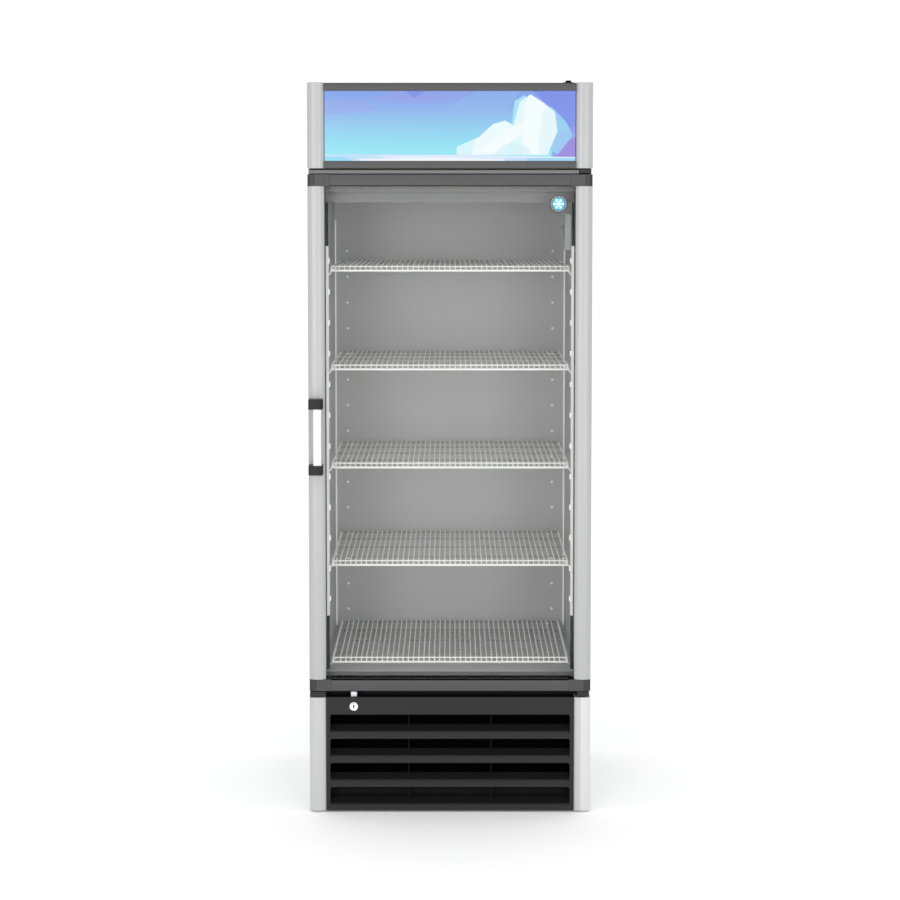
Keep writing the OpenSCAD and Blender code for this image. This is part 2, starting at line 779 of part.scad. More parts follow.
module thermostat_housing() {
  color("lightgray") difference() {
    translate([thermo_x, 0, 0]) rotate([90, 0, 90]) linear_extrude(inner_hw - fit - thermo_x)
      polygon(rounded(thermo_y[0], thermo_y[1], thermo_z[0], thermo_z[1], [5, 5, 5, 5]));
    translate([thermo_x - e, knob_y, knob_z]) rotate([0, 90, 0]) cylinder(r = 3 + run_fit, h = 10);
  }
}

module thermostat_knob() {
  color("black") translate([thermo_x, knob_y, knob_z]) rotate([0, -90, 0]) {
    translate([0, 0, -8]) cylinder(r = 3, h = 9);
    translate([0, 0, fit]) cylinder(r = 19, h = 5);
    difference() {
      translate([0, 0, 4]) cylinder(r = 16, h = 7);
      translate([12, -1, 9]) cube([8, 2, 4]);
    }
  }
}

// ---- Evaporator section, above the shelves ----

chase_y = back_y - 24;
chase_d = 18;
chase_top = evap_z + 60;
drain_x = 150;
line_x = -150;
cover_y = case_y + 50;
cover_t = 2.5;

module evaporator_cover() {
  hw = inner_hw - 1;
  t = cover_t;
  spigot_z = chase_top - chase_d;
  color("gainsboro") {
    difference() {
      union() {
        slab([-hw, hw], [cover_y, liner_back_y - 1], [evap_z, evap_z + t]);
        slab([-hw, hw], [cover_y, cover_y + t], [evap_z, evap_z + 34]);
        slab([-hw + 40, hw - 40], [liner_back_y - 30, liner_back_y - 30 + t], [evap_z, evap_z + 30]);
      }
      translate([0, evap_fan_y, evap_z - e]) cylinder(r = evap_fan_r + 4, h = t + 2 * e);
      for (x = [-220:22:220])
        slab([x - 7, x + 7], [liner_back_y - 24, liner_back_y - 8], [evap_z - e, evap_z + t + e]);
    }
    slab([drain_x - 20, drain_x + 20], [liner_back_y - 28, liner_back_y - 6], [evap_z + t - sink, spigot_z - 6]);
    rod_y(drain_x, liner_back_y - 26, chase_y + 4, spigot_z, 14);
    rod_z(drain_x, chase_y, tray_z + 60, spigot_z, 13.2);
  }
}

coil_y = [liner_back_y - 210, liner_back_y - 90];
coil_z = [evap_z + 30, evap_z + 170];

// A finned block with its end plates standing on a floor below it
module finned_coil(hw, y, z, fin_pitch, bend_r, floor_z) {
  fin_t = 2.2;
  for (x = [-hw:fin_pitch:hw]) slab([x, x + fin_t], y, z);
  for (k = [0:3]) {
    zk = z[0] + (z[1] - z[0]) * (k + 0.5) / 4;
    for (yk = [y[0] + (y[1] - y[0]) * 0.25, y[1] - (y[1] - y[0]) * 0.25])
      translate([-hw - bend_r, yk, zk]) rotate([0, 90, 0]) cylinder(r = 4.5, h = 2 * (hw + bend_r) + fin_t);
  }
  for (x = [-hw - bend_r, hw + bend_r - 2])
    slab([x, x + 4], [y[0] + 6, y[1] - 6], [floor_z, z[1] - 6]);
}

module evaporator_coil() { color("silver") finned_coil(220, coil_y, coil_z, 22, 26, evap_z + cover_t); }

// Fan motor body with its shaft, along Z before it is placed
module fan_motor(r, h, shaft_r, shaft_h) {
  cylinder(r = r, h = h);
  translate([0, 0, -shaft_h]) cylinder(r = shaft_r, h = shaft_h + sink);
  for (a = [45:90:315]) rotate(a) translate([r - 2, -4, h - 6]) cube([14, 8, 4]);
}

// Hub with pitched blades, along Z before it is placed
module fan_blade(r, hub_r, hub_h, shaft_r, blades) {
  difference() {
    union() {
      cylinder(r = hub_r, h = hub_h);
      for (k = [0:blades - 1]) rotate(k * 360 / blades)
        translate([hub_r - 3, 0, hub_h / 2]) rotate([28, 0, 0])
          linear_extrude(2, center = true) polygon(rounded(0, r - hub_r, -r / 4, r / 4, [3, 14, 14, 3]));
    }
    translate([0, 0, -e]) cylinder(r = shaft_r + run_fit, h = hub_h + 2 * e);
  }
}

evap_motor_z = evap_z + 32;

module evaporator_fan_motor() {
  motor_r = 36;
  arm_r = evap_fan_r + 10;
  leg_h = evap_motor_z - evap_z - cover_t;
  color("dimgray") translate([0, evap_fan_y, evap_motor_z]) {
    fan_motor(motor_r, 50, 3, 20);
    for (a = [0:120:240]) rotate(a) {
      translate([motor_r - 4, -4, 4]) cube([arm_r - motor_r + 4, 8, 4]);
      translate([arm_r - 4, -4, -leg_h]) cube([4, 8, leg_h + 6]);
    }
  }
}

module evaporator_fan_blade() {
  color("white") translate([0, evap_fan_y, evap_motor_z - 18]) fan_blade(evap_fan_r, 18, 14, 3, 5);
}

// ---- Refrigeration unit in the base ----

module compressor() {
  z0 = comp_z;
  color([0.12, 0.12, 0.13]) {
    translate([comp_x, comp_y, 0]) {
      rotate_extrude() polygon(concat([[0, z0]], arc([comp_r - 18, z0 + 18], 18, 270, 360),
        arc([comp_r - 30, z0 + 125], 30, 0, 90), [[0, z0 + 160]]));
      translate([0, 0, z0 + 66]) cylinder(r = comp_r + 4, h = 6);
      for (s = [-1, 1], t = [-1, 1]) {
        translate([s * 62 - 14, t * 62 - 14, z0 + 6]) cube([28, 28, 4]);
        translate([s * 70, t * 70, z0 + 8 + sink]) mirror([0, 0, 1]) cylinder(r = 9, h = 26);
      }
    }
    slab([comp_x - comp_r - 22, comp_x - comp_r + 12], [comp_y - 24, comp_y + 24], [z0 + 60, z0 + 115]);
    for (s = [-1, 1]) rod_z(comp_x - stub_in, comp_y + s * 30, z0 + 150, stub_z, 13);
  }
}

module condenser_coil() {
  color([0.16, 0.16, 0.16]) translate([cond_fan_x, 0, 0])
    finned_coil(cond_hw, [cond_y, cond_y + cond_t], [tray_z + tray_t + 8, cond_fan_z + 115], 20,
      cond_bend_r, tray_z + tray_t);
}

cond_motor_y = cond_y + cond_t + 62;

module condenser_fan_motor() {
  bracket = 6;
  color("dimgray") {
    translate([cond_fan_x, cond_motor_y, cond_fan_z]) rotate([-90, 0, 0]) fan_motor(38, 60, 3, 24);
    slab([cond_fan_x - 20, cond_fan_x + 20], [cond_motor_y + 20, cond_motor_y + 20 + bracket],
      [tray_z + tray_t, cond_fan_z - 30]);
  }
}

module condenser_fan_blade() {
  color("lightgray") translate([cond_fan_x, cond_motor_y - 22, cond_fan_z]) rotate([-90, 0, 0])
    fan_blade(cond_fan_r, 20, 16, 3, 5);
}

module condensate_pan() {
  wall = 3;
  x = [drain_x - 110, foot_x - foot_r - 11];
  y = [back_y - 105, back_y - 8];
  z = [tray_z + tray_t, tray_z + tray_t + 45];
  color([0.2, 0.2, 0.2]) difference() {
    slab(x, y, z);
    slab([x[0] + wall, x[1] - wall], [y[0] + wall, y[1] - wall], [z[0] + wall, z[1] + e]);
  }
}

inlet_x = [-half_w + 110, -half_w + 140];
inlet_z = [110, 134];

module control_box() {
  x = [-half_w + 80, -half_w + 170];
  color("lightgray") difference() {
    slab(x, [back_y - 140, back_y - sheet_t - fit], [tray_z + tray_t, 200]);
    slab([inlet_x[0] - 1, inlet_x[1] + 1], [back_y - 24, back_y], [inlet_z[0] - 1, inlet_z[1] + 1]);
  }
}

// Appliance inlet with its three blades, set into the back panel
module power_inlet() {
  y1 = back_y - fit;
  color([0.08, 0.08, 0.08]) {
    difference() {
      slab([inlet_x[0] + fit, inlet_x[1] - fit], [y1 - 22, y1], [inlet_z[0] + fit, inlet_z[1] - fit]);
      slab([inlet_x[0] + 3, inlet_x[1] - 3], [y1 - 18, y1 + e], [inlet_z[0] + 3, inlet_z[1] - 3]);
    }
    for (p = [[-7, -4.5], [0, -0.5], [7, -4.5]])
      translate([(inlet_x[0] + inlet_x[1]) / 2 + p[0] - 1, y1 - 18 - sink, (inlet_z[0] + inlet_z[1]) / 2 + p[1] - 2])
        cube([2, 14, 4]);
  }
}

// Suction line to the evaporator, and the discharge line to the condenser with its filter drier
module refrigerant_lines() {
  suction_d = 9;
  discharge_d = 6.5;
  drier_d = 22;
  coil_line_z = chase_top - chase_d;
  suction_z = base_h - 57;
  discharge_z = stub_z + 20;
  stub_x = comp_x - stub_in;
  drier_x = cond_fan_x + cond_hw + cond_bend_r + 20;
  drier_y = (cond_y + comp_y) / 2 + 20;
  end_y = cond_y + cond_t / 2;
  end_x = cond_fan_x + cond_hw + cond_bend_r + 2;
  color("peru") {
    pipe([[line_x, coil_y[1], coil_line_z], [line_x, chase_y, coil_line_z], [line_x, chase_y, suction_z],
      [line_x, comp_y + 30, suction_z], [stub_x, comp_y + 30, suction_z], [stub_x, comp_y + 30, stub_z]],
      suction_d);
    pipe([[stub_x, comp_y - 30, stub_z], [stub_x, comp_y - 30, discharge_z],
      [drier_x, comp_y - 30, discharge_z], [drier_x, end_y, discharge_z], [end_x, end_y, discharge_z]],
      discharge_d);
    rod_y(drier_x, drier_y - 35, drier_y + 35, discharge_z, drier_d);
  }
}

outer_shell();
back_panel();
inner_liner();
foam_insulation();
breaker_frame();
base_frame();
levelling_feet();
header_housing();
header_frame();
sign_panel();
header_lamp();
header_trim_left();
header_trim_right();
fascia_strip();
cable_grommet();
base_trim_left();
base_trim_right();
front_grille();
lock_cylinder();
lock_bolt();
hinge_top();
hinge_bottom();
hinge_blank();
stile_left();
stile_right();
rail_top();
rail_bottom();
corner_caps();
outer_glass();
inner_glass();
glass_spacer();
door_gasket();
door_closer();
glass_decal();
handle_grip();
handle_brackets();
front_pilasters();
rear_supports();
shelf_clips();
shelf_1();
shelf_2();
shelf_3();
shelf_4();
shelf_5();
interior_lamp();
light_switch();
thermostat_housing();
thermostat_knob();
evaporator_cover();
evaporator_coil();
evaporator_fan_motor();
evaporator_fan_blade();
compressor();
condenser_coil();
condenser_fan_motor();
condenser_fan_blade();
condensate_pan();
control_box();
refrigerant_lines();
power_inlet();
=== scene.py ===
"""The looks of an upright glass door merchandiser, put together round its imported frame. Metres."""

import json
import math

import bmesh
import bpy
import numpy as np
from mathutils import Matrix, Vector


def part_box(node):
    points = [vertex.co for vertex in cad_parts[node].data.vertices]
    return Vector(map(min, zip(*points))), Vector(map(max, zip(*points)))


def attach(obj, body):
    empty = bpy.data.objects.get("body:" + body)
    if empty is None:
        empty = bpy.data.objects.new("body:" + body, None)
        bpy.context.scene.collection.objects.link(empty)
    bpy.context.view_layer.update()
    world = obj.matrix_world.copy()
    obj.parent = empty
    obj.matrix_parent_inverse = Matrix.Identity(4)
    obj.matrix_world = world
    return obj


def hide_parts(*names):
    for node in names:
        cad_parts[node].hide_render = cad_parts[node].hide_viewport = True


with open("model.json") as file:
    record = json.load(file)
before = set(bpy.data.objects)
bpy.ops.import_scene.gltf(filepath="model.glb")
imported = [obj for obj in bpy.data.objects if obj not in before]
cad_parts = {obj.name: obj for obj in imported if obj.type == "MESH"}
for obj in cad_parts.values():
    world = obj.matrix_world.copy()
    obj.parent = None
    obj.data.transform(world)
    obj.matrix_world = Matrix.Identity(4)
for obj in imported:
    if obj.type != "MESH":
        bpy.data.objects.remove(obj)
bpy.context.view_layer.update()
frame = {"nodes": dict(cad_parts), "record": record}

# ---- Camera ----
# A long lens a little above the middle of the cabinet, pitched down by a few degrees. A small
# vertical shift keeps the whole cabinet in the picture.
door_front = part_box("stile_left")[0].y
camera_away, camera_height, camera_pitch = 6.2686, 1.6599, 4.3
camera = bpy.data.objects.new("camera", bpy.data.cameras.new("camera"))
camera.data.lens = 93.7
camera.data.shift_y = -0.0813
camera.location = (0, door_front - camera_away, camera_height)
camera.rotation_euler = (math.radians(90 - camera_pitch), 0, 0)
bpy.context.scene.collection.objects.link(camera)
bpy.context.scene.camera = camera
bpy.context.scene.view_settings.view_transform = "Standard"

# ---- Outer shell and back panel ----
# The wrap is one folded sheet of prepainted silver steel, and the back a flat panel of bare
# galvanised steel with pressed vents. The paint has a fine orange peel and soft uneven gloss.


class Signal:
    """A number, colour or vector inside a finish. Arithmetic on it adds Math nodes."""

    def __init__(self, socket):
        self.socket = socket

    def node(self, kind, settings, sockets, out=0):
        """Adds one node: its settings first, then the values or links of its sockets."""
        tree = self.socket.id_data
        made = tree.nodes.new("ShaderNode" + kind)
        for name, value in settings.items():
            if name == "stops":
                ramp = made.color_ramp.elements
                for place, colour in value[2:]:
                    ramp.new(place)
                for stop, (place, colour) in zip(ramp, value):
                    stop.position, stop.color = place, colour
            else:
                setattr(made, name, value)
        for name, value in sockets.items():
            if isinstance(value, Signal):
                tree.links.new(value.socket, made.inputs[name])
            else:
                made.inputs[name].default_value = value
        return Signal(made.outputs[out])

    def math(self, operation, first, second=0.0):
        return self.node("Math", {"operation": operation}, {0: first, 1: second})

    def __add__(self, other):
        return self.math("ADD", self, other)

    def __sub__(self, other):
        return self.math("SUBTRACT", self, other)

    def __rsub__(self, other):
        return self.math("SUBTRACT", other, self)

    def __mul__(self, other):
        return self.math("MULTIPLY", self, other)

    def __truediv__(self, other):
        return self.math("DIVIDE", self, other)

    def __mod__(self, other):
        return self.math("FLOORED_MODULO", self, other)

    def __pow__(self, other):
        return self.math("POWER", self, other)

    def __abs__(self):
        return self.math("ABSOLUTE", self)

    __radd__, __rmul__ = __add__, __mul__

    def least(self, other):
        return self.math("MINIMUM", self, other)

    def most(self, other):
        return self.math("MAXIMUM", self, other)

    def above(self, edge, softness=0.0002):
        """0 where this is below edge and 1 where it is above, with a ramp of that half width."""
        reach = {"From Min": edge - softness, "From Max": edge + softness}
        return self.node("MapRange", {"clamp": True}, {"Value": self, **reach})

    def blend(self, first, second):
        """The colour first where this is 0 and second where it is 1."""
        return self.node("Mix", {"data_type": "RGBA"}, {0: self, 6: first, 7: second}, out=2)


def shade(code, lift=1.0):
    """Linear colour of a six-digit screen shade: above the toe, ((s + 0.055) / 1.055) ** 2.4."""
    screen = np.array([int(code[i:i + 2], 16) / 255 for i in (0, 2, 4)])
    linear = np.where(screen > 0.04045, ((screen + 0.055) / 1.055) ** 2.4, screen / 12.92)
    return (*np.clip(linear * lift, 0, 1).tolist(), 1)


class Finish:
    """One finish: a Principled shader with its constant values, fed by the piece's own coordinates."""

    def __init__(self, name, **constants):
        self.material = bpy.data.materials.new(name)
        self.material.use_nodes = True
        self.shader = self.material.node_tree.nodes["Principled BSDF"]
        for socket, value in constants.items():
            self.shader.inputs[socket.replace("_", " ")].default_value = value
        texture = self.material.node_tree.nodes.new("ShaderNodeTexCoord")
        self.place = Signal(texture.outputs["Object"])

    def feed(self, socket, signal):
        self.material.node_tree.links.new(signal.socket, self.shader.inputs[socket])
        return self

    def tint(self, where, first, second):
        """Shades the piece first where the signal is 0 and second where it is 1."""
        return self.feed("Base Color", where.blend(shade(first), shade(second)))

    def axis(self, name):
        return self.place.node("SeparateXYZ", {}, {"Vector": self.place}, out="XYZ".index(name))

    def noise(self, scale, detail=2.0, stretch=(1, 1, 1)):
        """Cloudy noise from 0 to 1 with about scale blobs to the metre, denser along a stretched axis."""
        at = self.place.node("VectorMath", {"operation": "MULTIPLY"}, {0: self.place, 1: stretch})
        return self.place.node("TexNoise", {}, {"Vector": at, "Scale": scale, "Detail": detail})

    def cells(self, scale, feature="F1"):
        return self.place.node("TexVoronoi", {"feature": feature}, {"Vector": self.place, "Scale": scale})

    def relief(self, height, depth):
        """Bumps of that depth in metres where the height signal is 1."""
        bump = self.place.node("Bump", {}, {"Height": height, "Distance": depth, "Strength": 1.0})
        return self.feed("Normal", bump)

    def on(self, *things):
        """Puts the finish on CAD nodes, by name, and on new pieces."""
        for thing in things:
            coated = frame["nodes"][thing] if isinstance(thing, str) else thing
            if coated.material_slots:
                for holder in coated.material_slots:
                    holder.material = self.material
            else:
                coated.data.materials.append(self.material)
        return self


def coat(name, code, rough, blotch=0.05, grain=650, depth=0.00004, smudge=0.06, **constants):
    """A coloured coat: cloudy shade and gloss, and an even fine grain in the surface."""
    finish = Finish(name, **constants)
    cloud, fine = finish.noise(2.5, 4.0), finish.noise(grain, 1.0)
    finish.feed("Base Color", cloud.blend(shade(code, 1 - blotch), shade(code, 1 + blotch)))
    finish.feed("Roughness", (cloud - 0.5) * (2 * smudge) + (fine - 0.5) * 0.08 + rough)
    return finish.relief(fine, depth)


body_of = {node: body for body, nodes in frame["record"]["behaviour"]["bodies"].items() for node in nodes}


def fit(piece, finish, *nodes):
    """Gives a piece its finish and the body of the first CAD node that it stands for, and hides the CAD
    nodes.
    """
    finish.on(piece)
    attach(piece, body_of[nodes[0]])
    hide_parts(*nodes)
    return piece


def eased(node, finish, width, steps=2, smooth=30):
    """The CAD node's own shape as one joined mesh, its sharp edges rounded over by width."""
    mesh = frame["nodes"][node].data.copy()
    mesh.name = node + "_eased"
    piece = bpy.data.objects.new(node + "_eased", mesh)
    bpy.context.scene.collection.objects.link(piece)
    solid = bmesh.new()
    solid.from_mesh(mesh)
    bmesh.ops.remove_doubles(solid, verts=solid.verts, dist=0.000002)
    bmesh.ops.dissolve_limit(solid, angle_limit=math.radians(1), verts=solid.verts, edges=solid.edges)
    solid.to_mesh(mesh)
    solid.free()
    mesh.polygons.foreach_set("use_smooth", np.ones(len(mesh.polygons), bool))
    mesh.set_sharp_from_angle(angle=math.radians(smooth))
    if width:
        rounding = piece.modifiers.new("rounding", "BEVEL")
        rounding.width, rounding.segments, rounding.harden_normals = width, steps, True
        rounding.limit_method, rounding.angle_limit = "ANGLE", math.radians(40)
    return fit(piece, finish, node)


def faced(piece, finish, chosen):
    """Gives a second finish to the faces where chosen(x, y, z) of their middles is true."""
    middles = np.empty(3 * len(piece.data.polygons))
    piece.data.polygons.foreach_get("center", middles)
    piece.data.materials.append(finish.material)
    piece.data.polygons.foreach_set("material_index", chosen(*middles.reshape(-1, 3).T).astype(np.int32))
    return piece


silver_paint = coat("silver_paint", "c3c4c6", 0.36, Metallic=0.15)
silver_paint.on("outer_shell")

galvanised = Finish("galvanised", Metallic=0.85)
spangle = galvanised.cells(55)
flake = galvanised.noise(40, 3.0)
galvanised.tint(spangle * 0.6 + flake * 0.5, "8f9498", "d3d7d9")
galvanised.feed("Roughness", spangle * 0.25 + flake * 0.15 + 0.28).relief(flake, 0.00005)
galvanised.on("back_panel", "control_box")

# ---- Insulation and breaker frame ----
# Polyurethane foam is blown in one shot between shell and liner. A dark moulded frame joins their
# front edges, and is the face that the door's gasket closes against.
foam = Finish("foam", Roughness=0.92)
cell = foam.cells(260)
foam.tint(foam.noise(14, 4.0), "cdb277", "e6d3a0")
foam.relief(cell, 0.0009)
foam.on("foam_insulation")

dark_moulding = Finish("dark_moulding", Specular_IOR_Level=0.2)
cloud, fine = dark_moulding.noise(2.5, 4.0), dark_moulding.noise(900, 1.0)
# The sill under the opening shows over the door's bottom rail: it is painted paler than the side returns,
# as painted light on the face the light reaches
sill_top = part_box("rail_bottom")[0].z + 0.0415
lit_sill = 1 - dark_moulding.axis("Z").above(sill_top, 0.0003)
side_grey = cloud.blend(shade("404142"), shade("464748"))
dark_moulding.feed("Base Color", lit_sill.blend(side_grey, shade("7a7a7a")))
dark_moulding.feed("Roughness", (cloud - 0.5) * 0.12 + 0.55).relief(fine, 0.00008).on("breaker_frame")

# ---- Inner liner ----
# The cavity is lined with sheets of painted aluminium, pale grey with a soft satin face. It is painted a
# little darker and rougher towards the floor.
liner_paint = Finish("liner_paint", Specular_IOR_Level=0.4)
haze, fine = liner_paint.noise(3.0, 4.0), liner_paint.noise(500, 1.0)
dull_height, dull_fade = 0.62, 0.3
near_floor = 1 - liner_paint.axis("Z").above(dull_height, dull_fade)
liner_paint.tint(haze * 0.7 + near_floor * 0.3, "cdcdcd", "c4c4c4")
liner_paint.feed("Roughness", (haze - 0.5) * 0.16 + near_floor * 0.05 + 0.42).relief(fine, 0.00003)
liner_paint.on("inner_liner")

# ---- Base frame and feet ----
# Folded and welded black-coated steel carries the cabinet on four screw feet: a zinc-plated stud
# and nut over a hard black pad.
black_steel = coat("black_steel", "131314", 0.6, grain=800, depth=0.0001, Specular_IOR_Level=0.12)
black_steel.on("base_frame")

feet = Finish("feet")
pad_top = 0.0061
stud = feet.axis("Z").above(pad_top, 0.0001)
turned_grain = feet.noise(300, 2.0, (1, 1, 12))
feet.tint(stud, "18181a", "a9abad")
feet.feed("Metallic", stud).feed("Roughness", 0.6 - stud * 0.28 + turned_grain * 0.1)
feet.relief(turned_grain, 0.00008)
eased("levelling_feet", feet, 0.0006)

# ---- Header box and its lamp ----
# A dark sheet steel tray behind the sign holds two strips of lenses over white lamps on
# an aluminium carrier.
tray_paint = coat("tray_paint", "3a3b3d", 0.5, grain=500, Specular_IOR_Level=0.35)
tray_paint.on("header_housing")

lamp_strip = Finish("lamp_strip", Emission_Strength=1.0)
lens_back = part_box("header_lamp")[0].y + 0.0038
lens = 1 - lamp_strip.axis("Y").above(lens_back, 0.0002)
grain = lamp_strip.noise(90, 3.0, (1, 20, 20))
lamp_strip.tint(grain, "d9dad8", "efefec")
lamp_strip.feed("Roughness", grain * 0.2 + 0.3)
lamp_strip.feed("Emission Color", lens.blend(shade("000000"), shade("fff6dd")))
lamp_strip.relief(grain, 0.00003)
lamp_strip.on("header_lamp")

# ---- Header rails and fascia ----
# The two rails are painted a flat slate grey, with faint draw lines along their length. The strip is
# painted a paler grey, as painted light that makes up for the shade it sits in under the header.


def painted_rail(name, dark, light, rough):
    """A painted cross rail's finish, with faint draw lines along x."""
    finish = Finish(name, Specular_IOR_Level=0.4)
    cloud, lines = finish.noise(3.0, 3.0), finish.noise(420, 1.0, (0.02, 1, 1))
    finish.tint(cloud, dark, light)
    finish.feed("Roughness", (cloud - 0.5) * 0.12 + (lines - 0.5) * 0.12 + rough)
    return finish.relief(lines, 0.00004)


slate = painted_rail("slate", "424243", "484849", 0.46)
eased("header_frame", slate, 0.0008)
fascia_painted_light = coat("fascia_painted_light", "6c6c6c", 0.5, blotch=0.04, grain=900, Specular_IOR_Level=0.4)
eased("fascia_strip", fascia_painted_light, 0.0012)

# ---- Sign panel ----
# A translucent acrylic sheet lit from behind, printed with a plain polar scene: a sky of flat
# hazes, a broken ice cliff and bands of pale water.
sign = Finish("sign", Roughness=0.22, Emission_Strength=0.93, Specular_IOR_Level=0.3)
sign_low, sign_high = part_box("sign_panel")
sign_edge = 0.0045
across = sign.axis("X") / sign_high.x
rise = (sign.axis("Z") - (sign_low.z + sign_edge)) / (sign_high.z - sign_low.z - 2 * sign_edge)


def facet(*corners):
    """1 inside a convex outline of corners given clockwise, 0 outside: the least of the distances
    to its sides, each (run x rise) of the point from a corner over the side's length."""
    inside = 1.0
    for (x0, z0), (x1, z1) in zip(corners, corners[1:] + corners[:1]):
        length = math.hypot(x1 - x0, z1 - z0)
        side = (rise - z0) * ((x0 - x1) / length) + (across - x0) * ((z1 - z0) / length)
        inside = side.least(inside)
    return inside.above(0.004, 0.004)


picture = rise.node("ValToRGB", {"stops": [
    (0.0, shade("9cecf6")), (0.22, shade("94e2f5")), (0.5, shade("93cdf1")),
    (0.76, shade("90b2ee")), (1.0, shade("82a0ec"))]}, {"Fac": rise})
hazes = [
    ("96aaea", 0.6,
     ((-1.1, 0.64), (-1.1, 1.1), (-1.02, 1.1), (-0.70, 0.86), (-0.2, 0.84), (-0.1, 0.80))),
    ("98a2e8", 0.6, ((-0.66, 0.86), (-0.30, 1.1), (0.22, 1.1), (0.10, 0.88), (-0.2, 0.82))),
    ("7186e6", 0.6, ((-0.44, 1.1), (-0.12, 1.1), (-0.28, 0.89))),
    ("92bdef", 0.4, ((-0.06, 0.74), (0.30, 1.1), (0.62, 1.1), (0.40, 0.66))),
    ("7a8ce8", 0.9, ((0.60, 1.1), (1.1, 1.1), (1.1, 0.20))),
    ("8f97ea", 0.8, ((0.80, 0.05), (0.84, 0.38), (1.1, 0.62), (1.1, 0.05))),
    ("9a86dc", 0.9, ((0.82, 0.05), (0.90, 0.26), (1.1, 0.44), (1.1, 0.05)))]
ice = [
    ("a4e2f7", 1.0, ((0.48, 0.40), (0.51, 0.86), (0.60, 0.95), (0.66, 0.60))),
    ("98cef3", 0.85, ((0.76, 0.20), (0.80, 0.80), (0.93, 0.56), (0.98, 0.36), (0.86, 0.08))),
    ("d9f6fb", 1.0, ((0.05, 0.08), (0.05, 0.20), (0.22, 0.34), (0.36, 0.20), (0.38, 0.08))),
    ("ecfbfd", 1.0,
     ((0.16, 0.08), (0.20, 0.30), (0.34, 0.53), (0.44, 0.58), (0.52, 0.50), (0.52, 0.08))),
    ("e4f9fc", 1.0,
     ((0.44, 0.08), (0.50, 0.50), (0.55, 0.84), (0.64, 0.96), (0.66, 0.50), (0.60, 0.08))),
    ("f3fdfe", 1.0,
     ((0.57, 0.08), (0.59, 0.80), (0.64, 0.96), (0.76, 0.82), (0.80, 0.45), (0.74, 0.08))),
    ("e6f7fc", 1.0,
     ((0.70, 0.08), (0.72, 0.60), (0.76, 0.82), (0.84, 0.70), (0.86, 0.42), (0.78, 0.08))),
    ("fafeff", 0.6, ((0.20, 0.14), (0.46, 0.46), (0.66, 0.62), (0.60, 0.40), (0.34, 0.10))),
    ("d4f2fa", 0.7, ((0.34, 0.08), (0.42, 0.22), (0.52, 0.28), (0.62, 0.20), (0.66, 0.08)))]
water = [
    ("c4dff9", 0.9, ((-1.1, -0.1), (-1.1, 0.13), (-0.5, 0.10), (1.1, 0.10), (1.1, -0.1))),
    ("e3ecfd", 0.9,
     ((-0.86, 0.115), (-0.2, 0.095), (0.5, 0.105), (1.1, 0.12), (1.1, 0.04), (-0.4, 0.02))),
    ("8cdcf4", 0.8, ((-1.1, -0.1), (-1.1, 0.07), (-0.82, 0.06), (-0.72, -0.1))),
    ("9ad3f2", 0.8, ((0.55, -0.1), (0.62, 0.04), (1.1, 0.045), (1.1, -0.1))),
    ("f3f8fe", 0.9, ((-0.74, 0.03), (-0.20, 0.05), (0.44, 0.03), (0.44, -0.1), (-0.66, -0.1)))]
for code, strength, corners in hazes + ice + water:
    picture = (facet(*corners) * strength).blend(picture, shade(code))
# The ink is thin: most of its colour comes from the light behind it
inked = picture.node("Mix", {"data_type": "RGBA", "blend_type": "MULTIPLY"},
                     {0: 1.0, 6: picture, 7: shade("2a2a2a")}, out=2)
sign.feed("Emission Color", picture).feed("Base Color", inked)
sign.relief(sign.noise(30, 2.0), 0.00002)
sign.on("sign_panel")

# ---- Header and base trims, and door stiles ----
# Six pale silver extrusions with a shallow bowed face stand at the corners. Fine lines from the
# die run up them, and their cut ends are eased. The stiles have a channel for the panes.


def upright(name, outline, low, high, ease):
    """A plan outline carried up from low to high: four rings of the outline, of which the end ones
    are drawn in by ease about the outline's middle. Returns the object."""
    middle = (outline.max(0) + outline.min(0)) / 2
    drawn = middle + (outline - middle) * (1 - 2 * ease / (outline.max(0) - outline.min(0)))
    rings = np.stack([drawn, outline, outline, drawn])
    heights = np.array([low, low + ease, high - ease, high])[:, None, None]
    points = np.concatenate([rings, np.broadcast_to(heights, rings.shape[:2] + (1,))], axis=2)
    return skin(name, points)


def skin(name, *grids, closed=False, smooth=35):
    """One mesh over grids of points (ring, step, xyz) that close round each ring. Every four
    neighbours make a face, and the end rings are capped unless the rings close on themselves."""
    vertices, faces, start = [], [], 0
    for grid in grids:
        rings, steps = grid.shape[:2]
        spans = rings if closed else rings - 1
        ring, step = np.meshgrid(np.arange(spans), np.arange(steps), indexing="ij")
        here, there = ring * steps, (ring + 1) % rings * steps
        after = (step + 1) % steps
        around = np.stack([here + step, here + after, there + after, there + step], axis=-1)
        faces += (around.reshape(-1, 4) + start).tolist()
        if not closed:
            first = np.arange(steps) + start
            faces += [first[::-1].tolist(), (first + (rings - 1) * steps).tolist()]
        vertices.append(grid.reshape(-1, 3))
        start += rings * steps
    mesh = bpy.data.meshes.new(name)
    mesh.from_pydata(np.concatenate(vertices).tolist(), [], faces)
    solid = bmesh.new()
    solid.from_mesh(mesh)
    bmesh.ops.recalc_face_normals(solid, faces=solid.faces)
    solid.to_mesh(mesh)
    solid.free()
    mesh.polygons.foreach_set("use_smooth", np.ones(len(mesh.polygons), bool))
    mesh.set_sharp_from_angle(angle=math.radians(smooth))
    piece = bpy.data.objects.new(name, mesh)
    bpy.context.scene.collection.objects.link(piece)
    return piece


def bowed_face(left, right, bow=0.006, steps=48):
    """The front of a trim from left to right: door_front + bow * |2u - 1| ** 2.6 for u from 0 to 1."""
    u = np.linspace(0, 1, steps + 1)
    return np.column_stack([left + (right - left) * u, door_front + bow * np.abs(2 * u - 1) ** 2.6])


